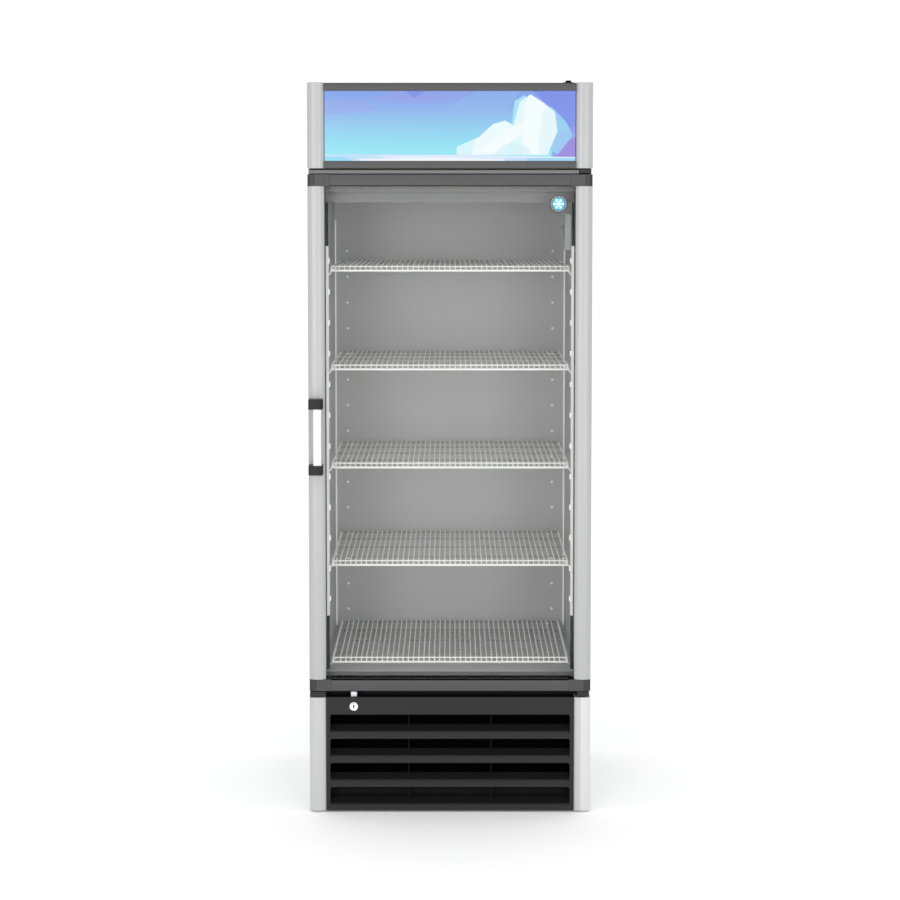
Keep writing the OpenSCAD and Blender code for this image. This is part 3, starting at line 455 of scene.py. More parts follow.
def extrusion(name):
    """Pale extruded aluminium with draw lines up it. Returns its finish and where its shade varies."""
    finish = Finish(name, Metallic=0.1, Specular_IOR_Level=0.45)
    cloud, lines = finish.noise(2.0, 3.0), finish.noise(700, 1.0, (1, 1, 0.01))
    finish.feed("Roughness", (cloud - 0.5) * 0.1 + (lines - 0.5) * 0.16 + 0.34)
    return finish.relief(lines, 0.00003), cloud * 0.7 + lines * 0.3


silver_extrusion, varied = extrusion("silver_extrusion")
silver_extrusion.tint(varied, "a6a6a7", "acacac")

# The two base trims are painted a touch paler to make up for the lower light they get, and the right one
# has a painted highlight over the outer part of its face
painted_light_extrusion, varied = extrusion("painted_light_extrusion")
trim_low, trim_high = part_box("base_trim_right")
highlight_from = trim_low.x + 0.4 * (trim_high.x - trim_low.x)
lifted_shade = varied.blend(shade("b4b4b5"), shade("bababa"))
highlight_shade = varied.blend(shade("c8c8c8"), shade("cfcfcf"))
highlight_side = painted_light_extrusion.axis("X").above(highlight_from, 0.001)
painted_light_extrusion.feed("Base Color", highlight_side.blend(lifted_shade, highlight_shade))

for node in ("header_trim_left", "header_trim_right", "base_trim_left", "base_trim_right"):
    low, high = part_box(node)
    plan = np.concatenate([bowed_face(low.x, high.x), [[high.x, high.y], [low.x, high.y]]])
    fit(upright(node + "_bowed", plan, low.z, high.z, 0.0008),
        painted_light_extrusion if node.startswith("base") else silver_extrusion, node)

pane_front, pane_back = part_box("outer_glass")[0].y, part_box("inner_glass")[1].y
channel_deep, channel_slack = 0.008, 0.0003
channel_front, channel_back = pane_front - channel_slack, pane_back + channel_slack
for node, inward in (("stile_left", 1), ("stile_right", -1)):
    low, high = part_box(node)
    outer, inner = (low.x, high.x) if inward > 0 else (high.x, low.x)
    channel_foot = inner - inward * channel_deep
    channel = [[inner, channel_front], [channel_foot, channel_front], [channel_foot, channel_back],
               [inner, channel_back]]
    plan = np.concatenate([bowed_face(outer, inner), channel, [[inner, high.y], [outer, high.y]]])
    fit(upright(node + "_bowed", plan, low.z, high.z, 0.0002), silver_extrusion, node)

# ---- Cable grommet ----
# A stepped black rubber bush in the roof of the cabinet, where the sign's lead comes through. Its
# two lips grip the sheet from above and below.
black_rubber = coat("black_rubber", "141415", 0.75, grain=1200, depth=0.00006, Specular_IOR_Level=0.12)


def turned(name, profile, centre, axis="Z", steps=64, smooth=35):
    """A lathe shape: for each (radius, height) of the profile a ring of radius * (cos t, sin t)
    about centre, standing at that height along the axis."""
    t = np.linspace(0, 2 * np.pi, steps, endpoint=False)
    profile = np.asarray(profile, float)
    circle = profile[:, :1, None] * np.stack([np.cos(t), np.sin(t)], axis=-1)[None]
    height = np.broadcast_to(profile[:, 1, None, None], circle.shape[:2] + (1,))
    order = {"Z": (0, 1, 2), "Y": (0, 2, 1), "X": (2, 0, 1)}[axis]
    points = np.concatenate([circle, height], axis=2)[:, :, order] + np.asarray(centre)
    return skin(name, points, smooth=smooth)


low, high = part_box("cable_grommet")
grommet_at = ((low.x + high.x) / 2, (low.y + high.y) / 2, high.z)
fit(turned("grommet_bush", [
    (0.0107, -0.0230), (0.0107, -0.0091), (0.0142, -0.0090), (0.0149, -0.0083), (0.0149, -0.0064),
    (0.0140, -0.0052), (0.0092, -0.0048), (0.0080, -0.0038), (0.0078, -0.0012), (0.0070, -0.0002),
    (0.0040, 0.0), (0.0036, -0.0015)], grommet_at), black_rubber, "cable_grommet")

# ---- Front grille ----
# One moulding of black plastic with a fine matt texture. Its four slots have sloped blades
# behind them that hide the machinery and turn the air upwards.
grille_plastic = Finish("grille_plastic", Specular_IOR_Level=0.22)
grille_painted_shade = Finish("grille_painted_shade", Roughness=0.8, Specular_IOR_Level=0.05)
cloud, leather = grille_plastic.noise(2.0, 3.0), grille_plastic.cells(1100)
dust_height, dust_fade = 0.12, 0.1
low_down = 1 - grille_plastic.axis("Z").above(dust_height, dust_fade)
dusty = grille_plastic.noise(9, 4.0) * low_down
grille_plastic.tint(cloud * 0.6 + dusty * 0.4, "242425", "292929")
grille_plastic.feed("Roughness", (cloud - 0.5) * 0.1 + dusty * 0.15 + 0.56).relief(leather, 0.00012)
shade_grain = grille_painted_shade.noise(700, 3.0)
grille_painted_shade.tint(shade_grain, "111111", "191919").relief(shade_grain, 0.0002)
# Behind its front wall the moulding is painted darker, as painted shade inside the slots, and is rougher
wall_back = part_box("front_grille")[0].y + 0.0049
faced(eased("front_grille", grille_plastic, 0.0008), grille_painted_shade, lambda x, y, z: y > wall_back)

# ---- Air filter ----
# A washable black pleated filter stands behind the grille, in front of the condenser. Its fleece is
# painted near black, as painted shade, so the slots look black.


def pleated(left, right, front, back, pitch, fold):
    """Plan outline with a folded front: y = front + fold * |2 (x / pitch mod 1) - 1|, a flat back."""
    x = np.arange(left, right + pitch / 4, pitch / 2)
    y = front + fold * np.abs(2 * ((x - left) / pitch % 1) - 1)
    return np.concatenate([np.column_stack([x, y]), [[x[-1], back], [left, back]]])


shade_fleece = Finish("shade_fleece", Roughness=1.0, Specular_IOR_Level=0.02)
hairs = shade_fleece.noise(900, 3.0)
shade_fleece.tint(hairs, "030303", "090909").relief(hairs, 0.0006)
frame_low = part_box("base_frame")[0]
filter_half, filter_front, filter_thick = 0.35, frame_low.y + 0.0042, 0.008
filter_foot, filter_top = frame_low.z + 0.0035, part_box("front_grille")[1].z - 0.0205
filter_plan = pleated(-filter_half, filter_half, filter_front, filter_front + filter_thick, 0.01, 0.004)
air_filter = upright("air_filter", filter_plan, filter_foot, filter_top, 0.0004)
shade_fleece.on(air_filter)
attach(air_filter, "cabinet")

# ---- Door lock ----
# A turned chrome barrel with a key slot, held in the grille, works a flat zinc-plated bolt that
# rises into the door's bottom rail.
chrome = Finish("chrome", Metallic=0.8)
low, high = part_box("lock_cylinder")
bolt_low, bolt_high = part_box("lock_bolt")
lock_x, lock_z, lock_face = (bolt_low.x + bolt_high.x) / 2, (low.z + high.z) / 2, low.y
plug_radius, groove_radius = 0.0056, 0.0081
radial = ((chrome.axis("X") - lock_x) ** 2.0 + (chrome.axis("Z") - lock_z) ** 2.0) ** 0.5
rings = radial.math("SINE", radial * 9000.0)
scuff = chrome.noise(120, 4.0)
# The inside of the key slot is painted near black as painted shade, and the groove round the plug as a dark
# joint
keyway_shade = (1 - radial.above(plug_radius)) * chrome.axis("Y").above(lock_face + 0.0005, 0.0002)
groove = 1 - abs(radial - groove_radius).above(0.0004, 0.0002)
plated = scuff.blend(shade("e8e8e8"), shade("f6f6f6"))
chrome.feed("Base Color", (keyway_shade.most(groove * 0.8)).blend(plated, shade("101010")))
chrome.feed("Roughness", scuff * 0.14 + 0.2).relief(rings, 0.000006)

t = np.linspace(0, 2 * np.pi, 64, endpoint=False)


def lock_rings(*rounds):
    """Rings of the lock's turned parts: for each (radius, depth behind the face), the circle
    radius * (cos t, sin t) about its axis. The radius can be one value or one for each t."""
    return np.stack([np.stack([lock_x + radius * np.cos(t), 0 * t + lock_face + back,
                               lock_z + radius * np.sin(t)], axis=-1) for radius, back in rounds])


# The slot's outline in its own polar angle: the nearer of the sides of a 3.4 by 10 mm box
slot_half_wide, slot_half_high, slot_chamfer = 0.0017, 0.005, 0.0002
slot_reach = np.minimum(slot_half_wide / np.maximum(np.abs(np.cos(t)), 1e-6),
                        slot_half_high / np.maximum(np.abs(np.sin(t)), 1e-6))
lock_rim, lock_barrel, tail_radius, lock_depth = 0.0115, 0.0105, 0.0025, high.y - lock_face
barrel = lock_rings(
    (slot_reach, 0.005), (slot_reach, slot_chamfer), (slot_reach + slot_chamfer, 0.0), (0.0078, 0.0),
    (0.0082, 0.0003), (0.0101, 0.0003), (0.0107, 0.0001), (lock_rim, 0.0009), (lock_rim, 0.0035),
    (lock_barrel, 0.0036), (lock_barrel, lock_depth - 0.0161))
tail = lock_rings((tail_radius, 0.0065), (tail_radius, lock_depth))
cam_x, cam_z = np.array([-0.004, 0.009, 0.009, -0.004]), np.array([-0.004, -0.004, 0.004, 0.004])
cam = np.stack([np.stack([lock_x + cam_x, 0 * cam_x + y, lock_z + cam_z], axis=-1)
                for y in (high.y - 0.003, high.y)])
fit(skin("lock_barrel", barrel, tail, cam), chrome, "lock_cylinder")

zinc = Finish("zinc", Metallic=0.9)
passivated, brushed = zinc.noise(60, 3.0), zinc.noise(500, 1.0, (1, 1, 0.05))
zinc.tint(passivated, "b9bcc0", "d2d3d2")
zinc.feed("Roughness", passivated * 0.2 + brushed * 0.12 + 0.22).relief(brushed, 0.00003)
eased("lock_bolt", zinc, 0.0006)

# ---- Hinges ----
# Thick pressed steel plates with a pin, coated black, top and bottom on the right. A moulded block
# fills the same gap at the lower left.
hinge_coat = coat("hinge_coat", "161617", 0.38, grain=700, depth=0.00006, Specular_IOR_Level=0.35)
for node in ("hinge_top", "hinge_bottom", "hinge_blank"):
    eased(node, hinge_coat, 0.0012)

# ---- Door rails and corner caps ----
# The cross rails are slate grey extrusions. Moulded caps of the same grey, a touch shinier, wrap
# the door's four corners and hide the joint with the stiles.
cap_plastic = Finish("cap_plastic", Specular_IOR_Level=0.4)
cloud, leather = cap_plastic.noise(3.0, 3.0), cap_plastic.noise(1000, 1.0)
seam_x, end_x = 0.3630, 0.3635
outward = abs(cap_plastic.axis("X"))
# The rounded outer ends are painted darker, as painted shade where the cap turns away from the light
end_shade = outward.above(end_x, 0.002)
cap_seam = 1 - abs(outward - seam_x).above(0.0009, 0.0003)
cap_grey = end_shade.blend(cloud.blend(shade("39393a"), shade("3f3f40")), shade("29292a"))
cap_plastic.feed("Base Color", cap_seam.blend(cap_grey, shade("141414")))
cap_plastic.feed("Roughness", (cloud - 0.5) * 0.1 + 0.42).relief(leather * 0.2 - cap_seam, 0.0003)

rail_paint = painted_rail("rail_paint", "3f3f40", "454546", 0.44)
channel_shade = Finish("channel_shade", Roughness=0.9, Specular_IOR_Level=0.03)
shade_speckle = channel_shade.noise(300, 3.0)
channel_shade.tint(shade_speckle, "080808", "121212").relief(shade_speckle, 0.0001)
# The channel that the panes stand in is painted near black inside, as painted shade, down to 8.5 mm into
# each rail
glass_foot, glass_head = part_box("rail_bottom")[1].z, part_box("rail_top")[0].z
channel_low, channel_high, channel_lip = glass_foot - 0.0085, glass_head + 0.0085, pane_front - 0.012
for node in ("rail_top", "rail_bottom"):
    faced(eased(node, rail_paint, 0.0006), channel_shade,
          lambda x, y, z: (z > channel_low) & (z < channel_high) & (y > channel_lip))
eased("corner_caps", cap_plastic, 0.0007)

# ---- Double glazing ----
# Two panes of float glass, the inner one coated against mist, sealed to a black perforated spacer
# that holds the drying beads.
pane_glass = Finish("pane_glass", Roughness=0.02, IOR=1.5)
wipe = pane_glass.noise(3.5, 4.0, (1, 1, 0.4))
pane_glass.tint(wipe, "24282a", "303436")
pane_glass.feed("Alpha", (wipe - 0.5) * 0.02 + 0.035)
pane_glass.on("outer_glass", "inner_glass")

spacer = Finish("spacer", Specular_IOR_Level=0.3)
hole_pitch, hole_half = 0.006, 0.0008
off_hole_x = abs(spacer.axis("X") % hole_pitch - hole_pitch / 2)
off_hole_z = abs(spacer.axis("Z") % hole_pitch - hole_pitch / 2)
pierced = (1 - off_hole_x.above(hole_half)) * (1 - off_hole_z.above(hole_half))
spacer.tint(pierced, "2a2a2b", "0c0c0c")
spacer.feed("Roughness", spacer.noise(200, 2.0) * 0.2 + 0.45).relief(1 - pierced, 0.0003)
spacer.on("glass_spacer")

# ---- Door gasket ----
# A black PVC bellows with a magnetic strip in its nose, pushed into the back of the door frame and
# welded at mitred corners.


def mitred(name, profile, half_width, bottom, top):
    """A profile of (outward, depth) steps carried round a rectangle: every step stands at
    x = +-(half_width + outward) and z = bottom - outward or top + outward, so corners mitre."""
    outward, depth = np.asarray(profile, float).T
    corners = ((-1, bottom, -1), (1, bottom, -1), (1, top, 1), (-1, top, 1))
    grid = np.stack([np.stack([sx * (half_width + outward), depth, z + sz * outward], axis=-1)
                     for sx, z, sz in corners])
    return skin(name, grid, closed=True, smooth=50)


low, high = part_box("door_gasket")
gasket_in = -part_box("stile_left")[1].x
gasket_wide, gasket_deep = high.x - gasket_in, high.y - low.y
fold = np.linspace(0, 1, 25)
# Two folds along the depth: the side steps in by 2.2 mm * sin(2 pi * 2 * f) ** 2
crease = 0.0022 * np.sin(2 * np.pi * fold) ** 2
inner_side = np.column_stack([crease, low.y + gasket_deep * fold])
outer_side = np.column_stack([gasket_wide - crease, low.y + gasket_deep * fold])[::-1]
nose = np.column_stack([np.linspace(0.001, gasket_wide - 0.001, 9),
                        high.y - 0.0006 * np.cos(np.linspace(-3, 3, 9) * np.pi) ** 2])
gasket = np.concatenate([inner_side, nose[1:-1], outer_side])
fit(mitred("gasket_bellows", gasket, gasket_in, glass_foot, glass_head), black_rubber, "door_gasket")

# ---- Door closer ----
# A sprung steel torsion rod in the hinge stile, held by a zinc-plated block. Both have the
# bolt's brushed face.
zinc.on("door_closer")

# ---- Decal ----
# A round label on the inside of the outer pane: a dark ring with ticks round a cold blue disc
# with a plain six-armed flake.
decal = Finish("decal", Roughness=0.3, Specular_IOR_Level=0.4)
low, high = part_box("glass_decal")
decal_x, decal_z = decal.axis("X") - (low.x + high.x) / 2, decal.axis("Z") - (low.z + high.z) / 2
away = (decal_x ** 2.0 + decal_z ** 2.0) ** 0.5
turn = decal.place.node("Math", {"operation": "ARCTAN2"}, {0: decal_z, 1: decal_x})
sixth = abs((turn + math.pi / 6) % (math.pi / 3) - math.pi / 6)
arm_along = away * decal.place.math("COSINE", sixth)
arm_off = away * decal.place.math("SINE", sixth)
arm_half, arm_long, twig_from, twig_half, twig_reach = 0.0011, 0.0148, 0.007, 0.0009, 0.0034
disc_edge, tick_from, tick_to, rim_from = 0.0168, 0.0185, 0.0212, 0.0234
arm = (1 - arm_off.above(arm_half)) * (1 - arm_along.above(arm_long))
off_twig = abs(arm_off - (arm_along - 0.0075) * 0.8)
twigs = (1 - off_twig.above(twig_half)) * (1 - arm_off.above(twig_reach)) * arm_along.above(twig_from)
off_tick = abs((turn % (math.pi / 12)) - math.pi / 24)
ticks = (1 - off_tick.above(0.045, 0.01)) * away.above(tick_from) * (1 - away.above(tick_to))
ink = (away * 40.0).blend(shade("62d2e6"), shade("128fb4"))
ink = (arm.most(twigs)).blend(ink, shade("f4fbfd"))
ink = away.above(disc_edge).blend(ink, shade("12242c"))
ink = ticks.blend(ink, shade("e4eef0"))
ink = away.above(rim_from).blend(ink, shade("3a474c"))
decal.feed("Base Color", ink).relief(decal.noise(400, 1.0), 0.00002)
decal.on("glass_decal")

# ---- Handle ----
# A satin bar of pale anodised aluminium is held off the left stile by two black nylon brackets,
# which wrap its ends and are screwed from inside the stile.
bar_silver = Finish("bar_silver", Metallic=0.2, Specular_IOR_Level=0.5)
cloud, brushed = bar_silver.noise(5, 3.0), bar_silver.noise(900, 1.0, (1, 1, 0.02))
bar_silver.tint(cloud * 0.5 + brushed * 0.5, "cbcbcb", "d3d3d3")
bar_silver.feed("Roughness", (cloud - 0.5) * 0.1 + (brushed - 0.5) * 0.2 + 0.3).relief(brushed, 0.00004)


def soft_box(left, right, front, back, radii, steps=8):
    """A rectangle's outline with four quarter arcs, anticlockwise from the front left corner:
    each point is an arc's centre + its radius * (cos, sin) of an even sweep of 90 degrees."""
    t = np.linspace(0, np.pi / 2, steps)
    corners = ((left, front, 1, 1, np.pi), (right, front, -1, 1, 1.5 * np.pi),
               (right, back, -1, -1, 0), (left, back, 1, -1, 0.5 * np.pi))
    arcs = [np.column_stack([x + sx * r + r * np.cos(t + a), y + sy * r + r * np.sin(t + a)])
            for (x, y, sx, sy, a), r in zip(corners, radii)]
    return np.concatenate(arcs)


low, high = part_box("handle_grip")
grip_plan = soft_box(low.x, high.x, low.y, high.y, (0.0035, 0.0035, 0.002, 0.002))
fit(upright("grip_bar", grip_plan, low.z, high.z, 0.0005), bar_silver, "handle_grip")

bracket_nylon = coat("bracket_nylon", "19191a", 0.45, grain=1100, depth=0.00007, Specular_IOR_Level=0.25)
eased("handle_brackets", bracket_nylon, 0.0014, steps=3)

# ---- Pilasters, corner strips and studs ----
# White-painted steel channels with a row of lugs stand at the front of the side walls. A slim
# strip covers each back corner, and two rows of white studs stand on the back wall.
# The paint glows faintly, as painted light, so the lugs and studs read bright in the dim cavity
white_paint_glow = coat("white_paint_glow", "f8f8f7", 0.38, grain=600, Specular_IOR_Level=0.5, Emission_Strength=0.16)
for node in ("front_pilasters", "rear_supports"):
    eased(node, white_paint_glow, 0.0004)

# ---- Wire shelves ----
# Welded from drawn steel wire and dipped in a bright white epoxy, which pools at the welds. The
# deck wires run front to back, and their front ends turn down to a lower rod.
# The epoxy glows faintly, as painted light, to keep the wires bright inside the cabinet
epoxy_white_glow = Finish("epoxy_white_glow", Roughness=0.3, Coat_Weight=0.3, Coat_Roughness=0.15,
                     Emission_Strength=0.1)
pool, grit = epoxy_white_glow.noise(25, 3.0), epoxy_white_glow.noise(450, 2.0)
epoxy_white_glow.tint(pool, "f0f0ee", "fafaf9").relief(grit, 0.00012)

# The cross rods under the deck are painted darker, as painted shade from the deck above them
epoxy_shade = Finish("epoxy_shade", Roughness=0.5)
shade_speckle = epoxy_shade.noise(60, 3.0)
epoxy_shade.tint(shade_speckle, "9c9c9a", "b0b0ae").relief(shade_speckle, 0.0001)


def wires(paths, across, radius, sides=8):
    """Round wires along paths (wire, step, xyz) square to the direction across: every ring is
    its step + radius * (cos t * across + sin t * (run x across)), with run the path's direction."""
    run = np.gradient(paths, axis=1)
    run /= np.linalg.norm(run, axis=-1, keepdims=True)
    t = np.linspace(0, 2 * np.pi, sides, endpoint=False) + np.pi / sides
    out = np.cross(run, across)[:, :, None]
    spokes = np.cos(t)[:, None] * np.asarray(across) + np.sin(t)[:, None] * out
    return list(paths[:, :, None] + radius * spokes)


deck_radius, side_radius, cross_radius, front_radius, weld_sink = 0.0017, 0.003, 0.002, 0.0031, 0.0004
edge_gap, front_drop, overhang, bend_radius, deck_count = 0.0205, 0.014, 0.004, 0.006, 43
cross_places = np.array([0.014, 0.15, 0.47, 0.76, 1.0])
bend = np.linspace(0, np.pi / 2, 6)


def bent_wires(places, back, front, top, foot):
    """A wire at each x of places that runs from back to front at height top, and turns down to foot
    round a quarter circle: y = front + r (1 - sin b) and z = top - r (1 - cos b)."""
    y = np.concatenate([[back], front + bend_radius * (1 - np.sin(bend)), [front]])
    z = np.concatenate([[top], top - bend_radius * (1 - np.cos(bend)), [foot]])
    return np.stack(np.broadcast_arrays(np.asarray(places)[:, None], y, z), axis=-1)


def rods(half_length, places, height):
    """Straight rods along x at each y of places."""
    ends = np.array([-half_length, half_length])
    return np.stack(np.broadcast_arrays(ends, np.asarray(places)[:, None], height), axis=-1)


for tier in range(1, 6):
    node = f"shelf_{tier}"
    low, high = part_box(node)
    half = high.x - overhang
    deck_z = high.z - deck_radius
    cross_z = deck_z - deck_radius - cross_radius + weld_sink
    front_z = deck_z - front_drop
    shelf_front, shelf_back = low.y + front_radius, high.y - cross_radius
    deck_x = np.linspace(-half + edge_gap, half - edge_gap, deck_count)
    deck = bent_wires(deck_x, shelf_back, shelf_front + 0.002, deck_z, front_z)
    sides = bent_wires((-half, half), shelf_back, shelf_front + 0.001, cross_z, front_z)
    cross = rods(half, shelf_front + cross_places * (shelf_back - shelf_front), cross_z)
    front = rods(half + overhang, [shelf_front], front_z)
    shelf = skin(f"wire_{node}", *wires(deck, (1, 0, 0), deck_radius),
                 *wires(sides, (1, 0, 0), side_radius, 12), *wires(cross, (0, 0, 1), cross_radius, 12),
                 *wires(front, (0, 0, 1), front_radius, 12))
    # A cross rod's faces have their middles at x = 0, under the deck
    faced(fit(shelf, epoxy_white_glow, node), epoxy_shade,
          lambda x, y, z: (np.abs(x) < 0.001) & (z < deck_z - 0.0014) & (y > shelf_front + 0.02))

# ---- Shelf clips ----
# Each shelf rests at the front on two hooks of bent white-dipped wire from the side pilasters, and
# at the back on two small tabs.
low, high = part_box("shelf_clips")
strip_low, strip_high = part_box("front_pilasters")
clip_rounds, clip_radius, hook_drop, hook_reach = [], 0.0016, 0.018, 0.012
hook_y, tab_x, tab_half = (strip_low.y + strip_high.y) / 2 + 0.0085, 0.291, 0.0045
tab_deep, tab_thick, tab_slack = 0.004, 0.004, 0.0001
sweep = np.linspace(0, 1, 14)
for tier in range(1, 6):
    shelf_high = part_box(f"shelf_{tier}")[1]
    rod_axis = shelf_high.z - 2 * deck_radius - cross_radius + weld_sink
    under = rod_axis - side_radius - clip_radius
    # The hook leaves the strip steeply and levels out: z rises by drop * sin(pi s / 2) ** 1.2
    wall, inner = high.x - 0.0005, shelf_high.x - overhang - hook_reach
    hook_x = wall - (wall - inner) * sweep
    hook_z = under - hook_drop + hook_drop * np.sin(np.pi * sweep / 2) ** 1.2
    tab_top = rod_axis - cross_radius - tab_slack
    for side in (-1, 1):
        hook = np.stack([side * hook_x, 0 * hook_x + hook_y, hook_z], axis=-1)
        clip_rounds += wires(hook[None], (0, 1, 0), clip_radius, 10)
        tab = soft_box(side * tab_x - tab_half, side * tab_x + tab_half, shelf_high.y - tab_deep, high.y,
                       (0.002,) * 4, 5)
        clip_rounds.append(np.stack([np.column_stack([tab, np.full(len(tab), z)])
                                     for z in (tab_top - tab_thick, tab_top)]))
fit(skin("clip_hooks", *clip_rounds), epoxy_white_glow, "shelf_clips")

# ---- Interior lamp and its switch ----
# A strip lamp behind a ribbed smoky cover lies under the cavity's front edge, with a small black
# rocker let into its right end.
lamp_cover = Finish("lamp_cover", Specular_IOR_Level=0.3)
rib = lamp_cover.place.math("SINE", lamp_cover.axis("X") * 900.0)
haze = lamp_cover.noise(8, 3.0)
lamp_cover.tint(haze, "8f8f8e", "999998")
lamp_cover.feed("Roughness", haze * 0.15 + 0.35).relief(rib, 0.0002)
eased("interior_lamp", lamp_cover, 0.0006)

rocker_plastic = coat("rocker_plastic", "1b1b1c", 0.35, grain=1300, Specular_IOR_Level=0.4)
eased("light_switch", rocker_plastic, 0.0006)

# ---- Thermostat ----
# A pale grey plastic box on the right wall with a ribbed knob of the same grey. The knob's rim
# carries a dark index line and a ring of plain setting marks.
control_plastic = coat("control_plastic", "dcdddd", 0.45, grain=1000, depth=0.00008)
eased("thermostat_housing", control_plastic, 0.0018, steps=3)

knob_finish = Finish("knob_finish", Roughness=0.4, Specular_IOR_Level=0.4)
low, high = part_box("thermostat_knob")
knob_y, knob_z = (low.y + high.y) / 2, (low.z + high.z) / 2
off_y, off_z = knob_finish.axis("Y") - knob_y, knob_finish.axis("Z") - knob_z
knob_away = (off_y ** 2.0 + off_z ** 2.0) ** 0.5
knob_turn = knob_finish.place.node("Math", {"operation": "ARCTAN2"}, {0: off_z, 1: off_y})
marks_from, index_half, index_from, index_to = 0.0162, 0.0007, 0.006, 0.0145
off_mark = abs(knob_turn % (math.pi / 6) - math.pi / 12)
marks = (1 - off_mark.above(0.04, 0.01)) * knob_away.above(marks_from)
index = (1 - abs(off_y).above(index_half)) * off_z.above(index_from) * (1 - knob_away.above(index_to))
knob_finish.tint(marks.most(index), "bcbdbe", "2a2a2b")
knob_finish.relief(knob_finish.noise(1000, 1.0), 0.00005)
# The grip's radius wavers with 24 ribs round it: r * (1 + 0.03 * cos 24 t)
t = np.linspace(0, 2 * np.pi, 192, endpoint=False)
ribbed = 1 + 0.03 * np.cos(24 * t)
stem_rounds = [(0.003, 0.019), (0.003, 0.0108), (0.0185, 0.0107), (0.019, 0.0102), (0.019, 0.0066),
               (0.0184, 0.006)]
rib_rounds = [(0.0155 * ribbed, 0.0058), (0.0153 * ribbed, 0.0012), (0.0140 * ribbed, 0.0002)]
cap_rounds = [(0.0120, 0.0), (0.0050, 0.0)]
knob = np.stack([np.stack([0 * t + low.x + back, knob_y + r * np.cos(t), knob_z + r * np.sin(t)], axis=-1)
                 for r, back in stem_rounds + rib_rounds + cap_rounds])
fit(skin("knob_turned", knob), knob_finish, "thermostat_knob")

# ---- Evaporator cover ----
# A folded tray of painted aluminium under the cooling coil, open round the fan and slotted at the
# back for the returning air. It drains through a white plastic tube.
cover_paint = coat("cover_paint", "999999", 0.42, grain=500, depth=0.00003, Specular_IOR_Level=0.4)
eased("evaporator_cover", cover_paint, 0.0006)

# ---- Coils ----
# Both heat exchangers are stacks of thin aluminium fins pressed on to copper tubes. The one in
# the base is sprayed black.


def fin_stack(name, node, fin_dark, fin_light, tube, metal):
    """Fins in one shade, and the tubes' ends in another, past the last fin on each side."""
    finish = Finish(name, Metallic=metal)
    low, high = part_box(node)
    fins_half = (high.x - low.x) / 2 - 0.018
    past_fins = abs(finish.axis("X") - (low.x + high.x) / 2).above(fins_half, 0.0005)
    edge = finish.noise(200, 2.0, (0.1, 1, 1))
    bare = finish.noise(30, 3.0).blend(shade(fin_dark), shade(fin_light))
    finish.feed("Base Color", past_fins.blend(bare, shade(tube)))
    return finish.feed("Roughness", edge * 0.25 + 0.3).relief(edge, 0.0002).on(node)


fin_stack("bare_fins", "evaporator_coil", "b4b8bb", "d4d7d8", "b8714d", 0.85)
fin_stack("black_fins", "condenser_coil", "1b1b1d", "242426", "161617", 0.3)

# ---- Fans ----
# Shaded-pole motors in dark enamelled cases turn pitched plastic blades: white in the cold
# air, grey in the base.
motor_enamel = coat("motor_enamel", "3c3e41", 0.45, grain=300, depth=0.0002, Metallic=0.4)
for node in ("evaporator_fan_motor", "condenser_fan_motor"):
    eased(node, motor_enamel, 0.0005)


def pitched_fan(name, node, finish, axis, blades):
    """A fan about an axis: the blade's point at radius r and chord c from -1 to 1 stands at angle
    k * 360 / blades + c * half_chord / r, and at height -c * pitch * (1 - 0.35 u), u from hub to tip."""
    low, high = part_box(node)
    middle, half = (low + high) / 2, (high - low) / 2
    reach = max(half.x, half.z if axis == "Y" else half.y) - 0.0005
    tall = (half.y if axis == "Y" else half.z) - 0.0015
    hub_r, bore_r, thick = 0.018, 0.0032, 0.001
    u, c = np.meshgrid(np.linspace(0, 1, 14), np.linspace(-1, 1, 12), indexing="ij")
    radius = hub_r - 0.002 + (reach - hub_r + 0.002) * (1 - (1 - u) ** 1.15)
    chord = (0.55 + 0.45 * np.sin(np.pi * np.clip(u, 0, 0.92))) * 0.021 + 0.004
    height = -c * tall * (1 - 0.35 * u)
    order = (0, 2, 1) if axis == "Y" else (0, 1, 2)
    grids = []
    for k in range(blades):
        angle = k * 2 * np.pi / blades + c * chord / np.maximum(radius, 0.03)
        top = np.stack([radius * np.cos(angle), radius * np.sin(angle), height + thick], axis=-1)
        under = top - np.array([0, 0, 2 * thick])
        grids.append(np.concatenate([top, under[:, ::-1]], axis=1)[:, :, order] + np.asarray(middle))
    t = np.linspace(0, 2 * np.pi, 40, endpoint=False)
    hub_edge = hub_r - 0.001
    hub = [(bore_r, -0.007), (hub_edge, -0.007), (hub_r, -0.006), (hub_r, 0.006), (hub_edge, 0.007),
           (bore_r, 0.007)]
    circle = np.stack([np.stack([r * np.cos(t), r * np.sin(t), 0 * t + h], axis=-1) for r, h in hub])
    grids.append(circle[:, :, order] + np.asarray(middle))
    return fit(skin(name, *grids), finish, node)


fan_white = coat("fan_white", "e4e4e1", 0.4, grain=800)
fan_grey = coat("fan_grey", "8c8d8e", 0.42, grain=800)
pitched_fan("evaporator_blades", "evaporator_fan_blade", fan_white, "Z", 5)
pitched_fan("condenser_blades", "condenser_fan_blade", fan_grey, "Y", 5)

# ---- Compressor ----
# A welded steel can, black enamelled, on rubber mounts, with a plastic box over its terminals. The
# thick enamel shines and has a slight orange peel.
can_enamel = coat("can_enamel", "121214", 0.24, grain=60, depth=0.0003, Coat_Weight=0.4, Coat_Roughness=0.2)
eased("compressor", can_enamel, 0.0006)

# ---- Condensate pan ----
# A shallow black plastic tray over the base, in which the melt water dries off. Its face has an
# even dull grain.
pan_plastic = coat("pan_plastic", "1d1d1e", 0.4, grain=700)
pan_plastic.on("condensate_pan")

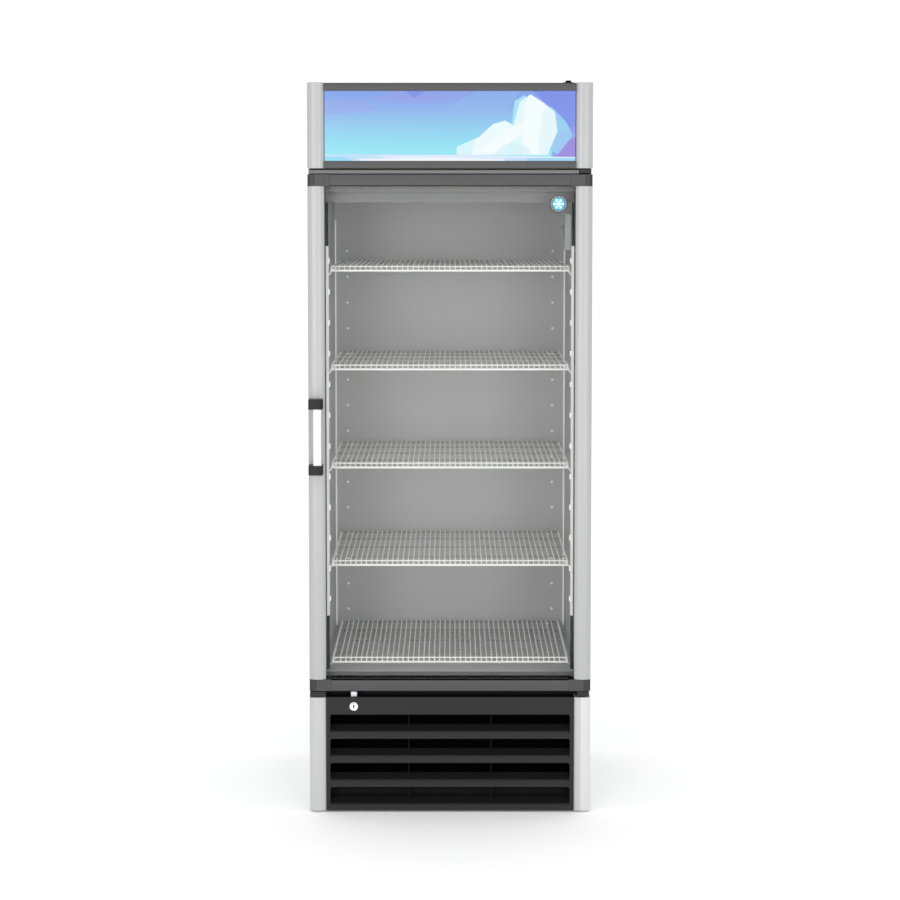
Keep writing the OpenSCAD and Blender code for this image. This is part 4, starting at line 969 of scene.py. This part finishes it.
# ---- Refrigerant lines ----
# Drawn copper tubes, with the drier as a thicker length. The metal is dull where it was handled,
# and darker in patches.
copper = Finish("copper", Metallic=0.95)
tarnish, hand = copper.noise(22, 5.0), copper.noise(90, 3.0)
copper.tint(tarnish, "8c4a2e", "d48b62")
copper.feed("Roughness", hand * 0.3 + 0.18).relief(hand, 0.0001)
eased("refrigerant_lines", copper, 0)

# ---- Power inlet ----
# A black moulded socket for a loose mains lead, with three blades in its well. The moulding's
# texture covers all of it.
inlet_finish = Finish("inlet_finish", Specular_IOR_Level=0.4)
rough_skin = inlet_finish.noise(1100, 1.0)
inlet_finish.tint(inlet_finish.noise(40, 2.0), "141415", "1a1a1b")
inlet_finish.feed("Roughness", rough_skin * 0.2 + 0.35).relief(rough_skin, 0.00006)
inlet_finish.on("power_inlet")

# ---- Studio ----
# A pale matt floor in a white surround, and two broad soft lamps in front of the cabinet, one on
# each side of the camera, the left one stronger.
floor_finish = Finish("floor_finish", Roughness=0.85, Specular_IOR_Level=0.2, Emission_Strength=0.06)
mottle = floor_finish.noise(1.5, 4.0)
floor_finish.tint(mottle, "fbfbfb", "fefefe")
floor_finish.relief(floor_finish.noise(220, 2.0), 0.00003)
# The floor is a flat square grid of points at height 0
floor_half, grid_points = 60, 9
span = np.linspace(-floor_half, floor_half, grid_points)
floor_points = np.stack(np.meshgrid(span, span, [0.0], indexing="ij"), axis=-1).reshape(-1, 3)
tile = np.arange(grid_points ** 2).reshape(grid_points, grid_points)
tiles = np.stack([tile[:-1, :-1], tile[1:, :-1], tile[1:, 1:], tile[:-1, 1:]], axis=-1).reshape(-1, 4)
floor_mesh = bpy.data.meshes.new("floor")
floor_mesh.from_pydata(floor_points.tolist(), [], tiles.tolist())
floor = bpy.data.objects.new("floor", floor_mesh)
bpy.context.scene.collection.objects.link(floor)
floor_finish.on(floor)

world = bpy.data.worlds.new("surround")
world.use_nodes = True
world.node_tree.nodes["Background"].inputs["Color"].default_value = (1, 1, 1, 1)
world.node_tree.nodes["Background"].inputs["Strength"].default_value = 1.03
bpy.context.scene.world = world


def soft_lamp(name, place, aim, size, watts):
    """A broad lamp at place that looks at aim."""
    lamp = bpy.data.objects.new(name, bpy.data.lights.new(name, "AREA"))
    lamp.data.shape, lamp.data.energy = "RECTANGLE", watts
    lamp.data.size, lamp.data.size_y = size
    lamp.location = place
    x, y, z = np.subtract(place, aim)
    lamp.rotation_euler = (math.atan2(math.hypot(x, y), z), 0, math.atan2(x, -y))
    bpy.context.scene.collection.objects.link(lamp)


lamp_y, lamp_height, aim_height, lamp_size = -5.9, 1.25, 1.0, (1.3, 2.2)
for name, lamp_x, watts in (("front_lamp_left", -1.6, 62), ("front_lamp_right", 1.6, 46)):
    soft_lamp(name, (lamp_x, lamp_y, lamp_height), (0, door_front, aim_height), lamp_size, watts)
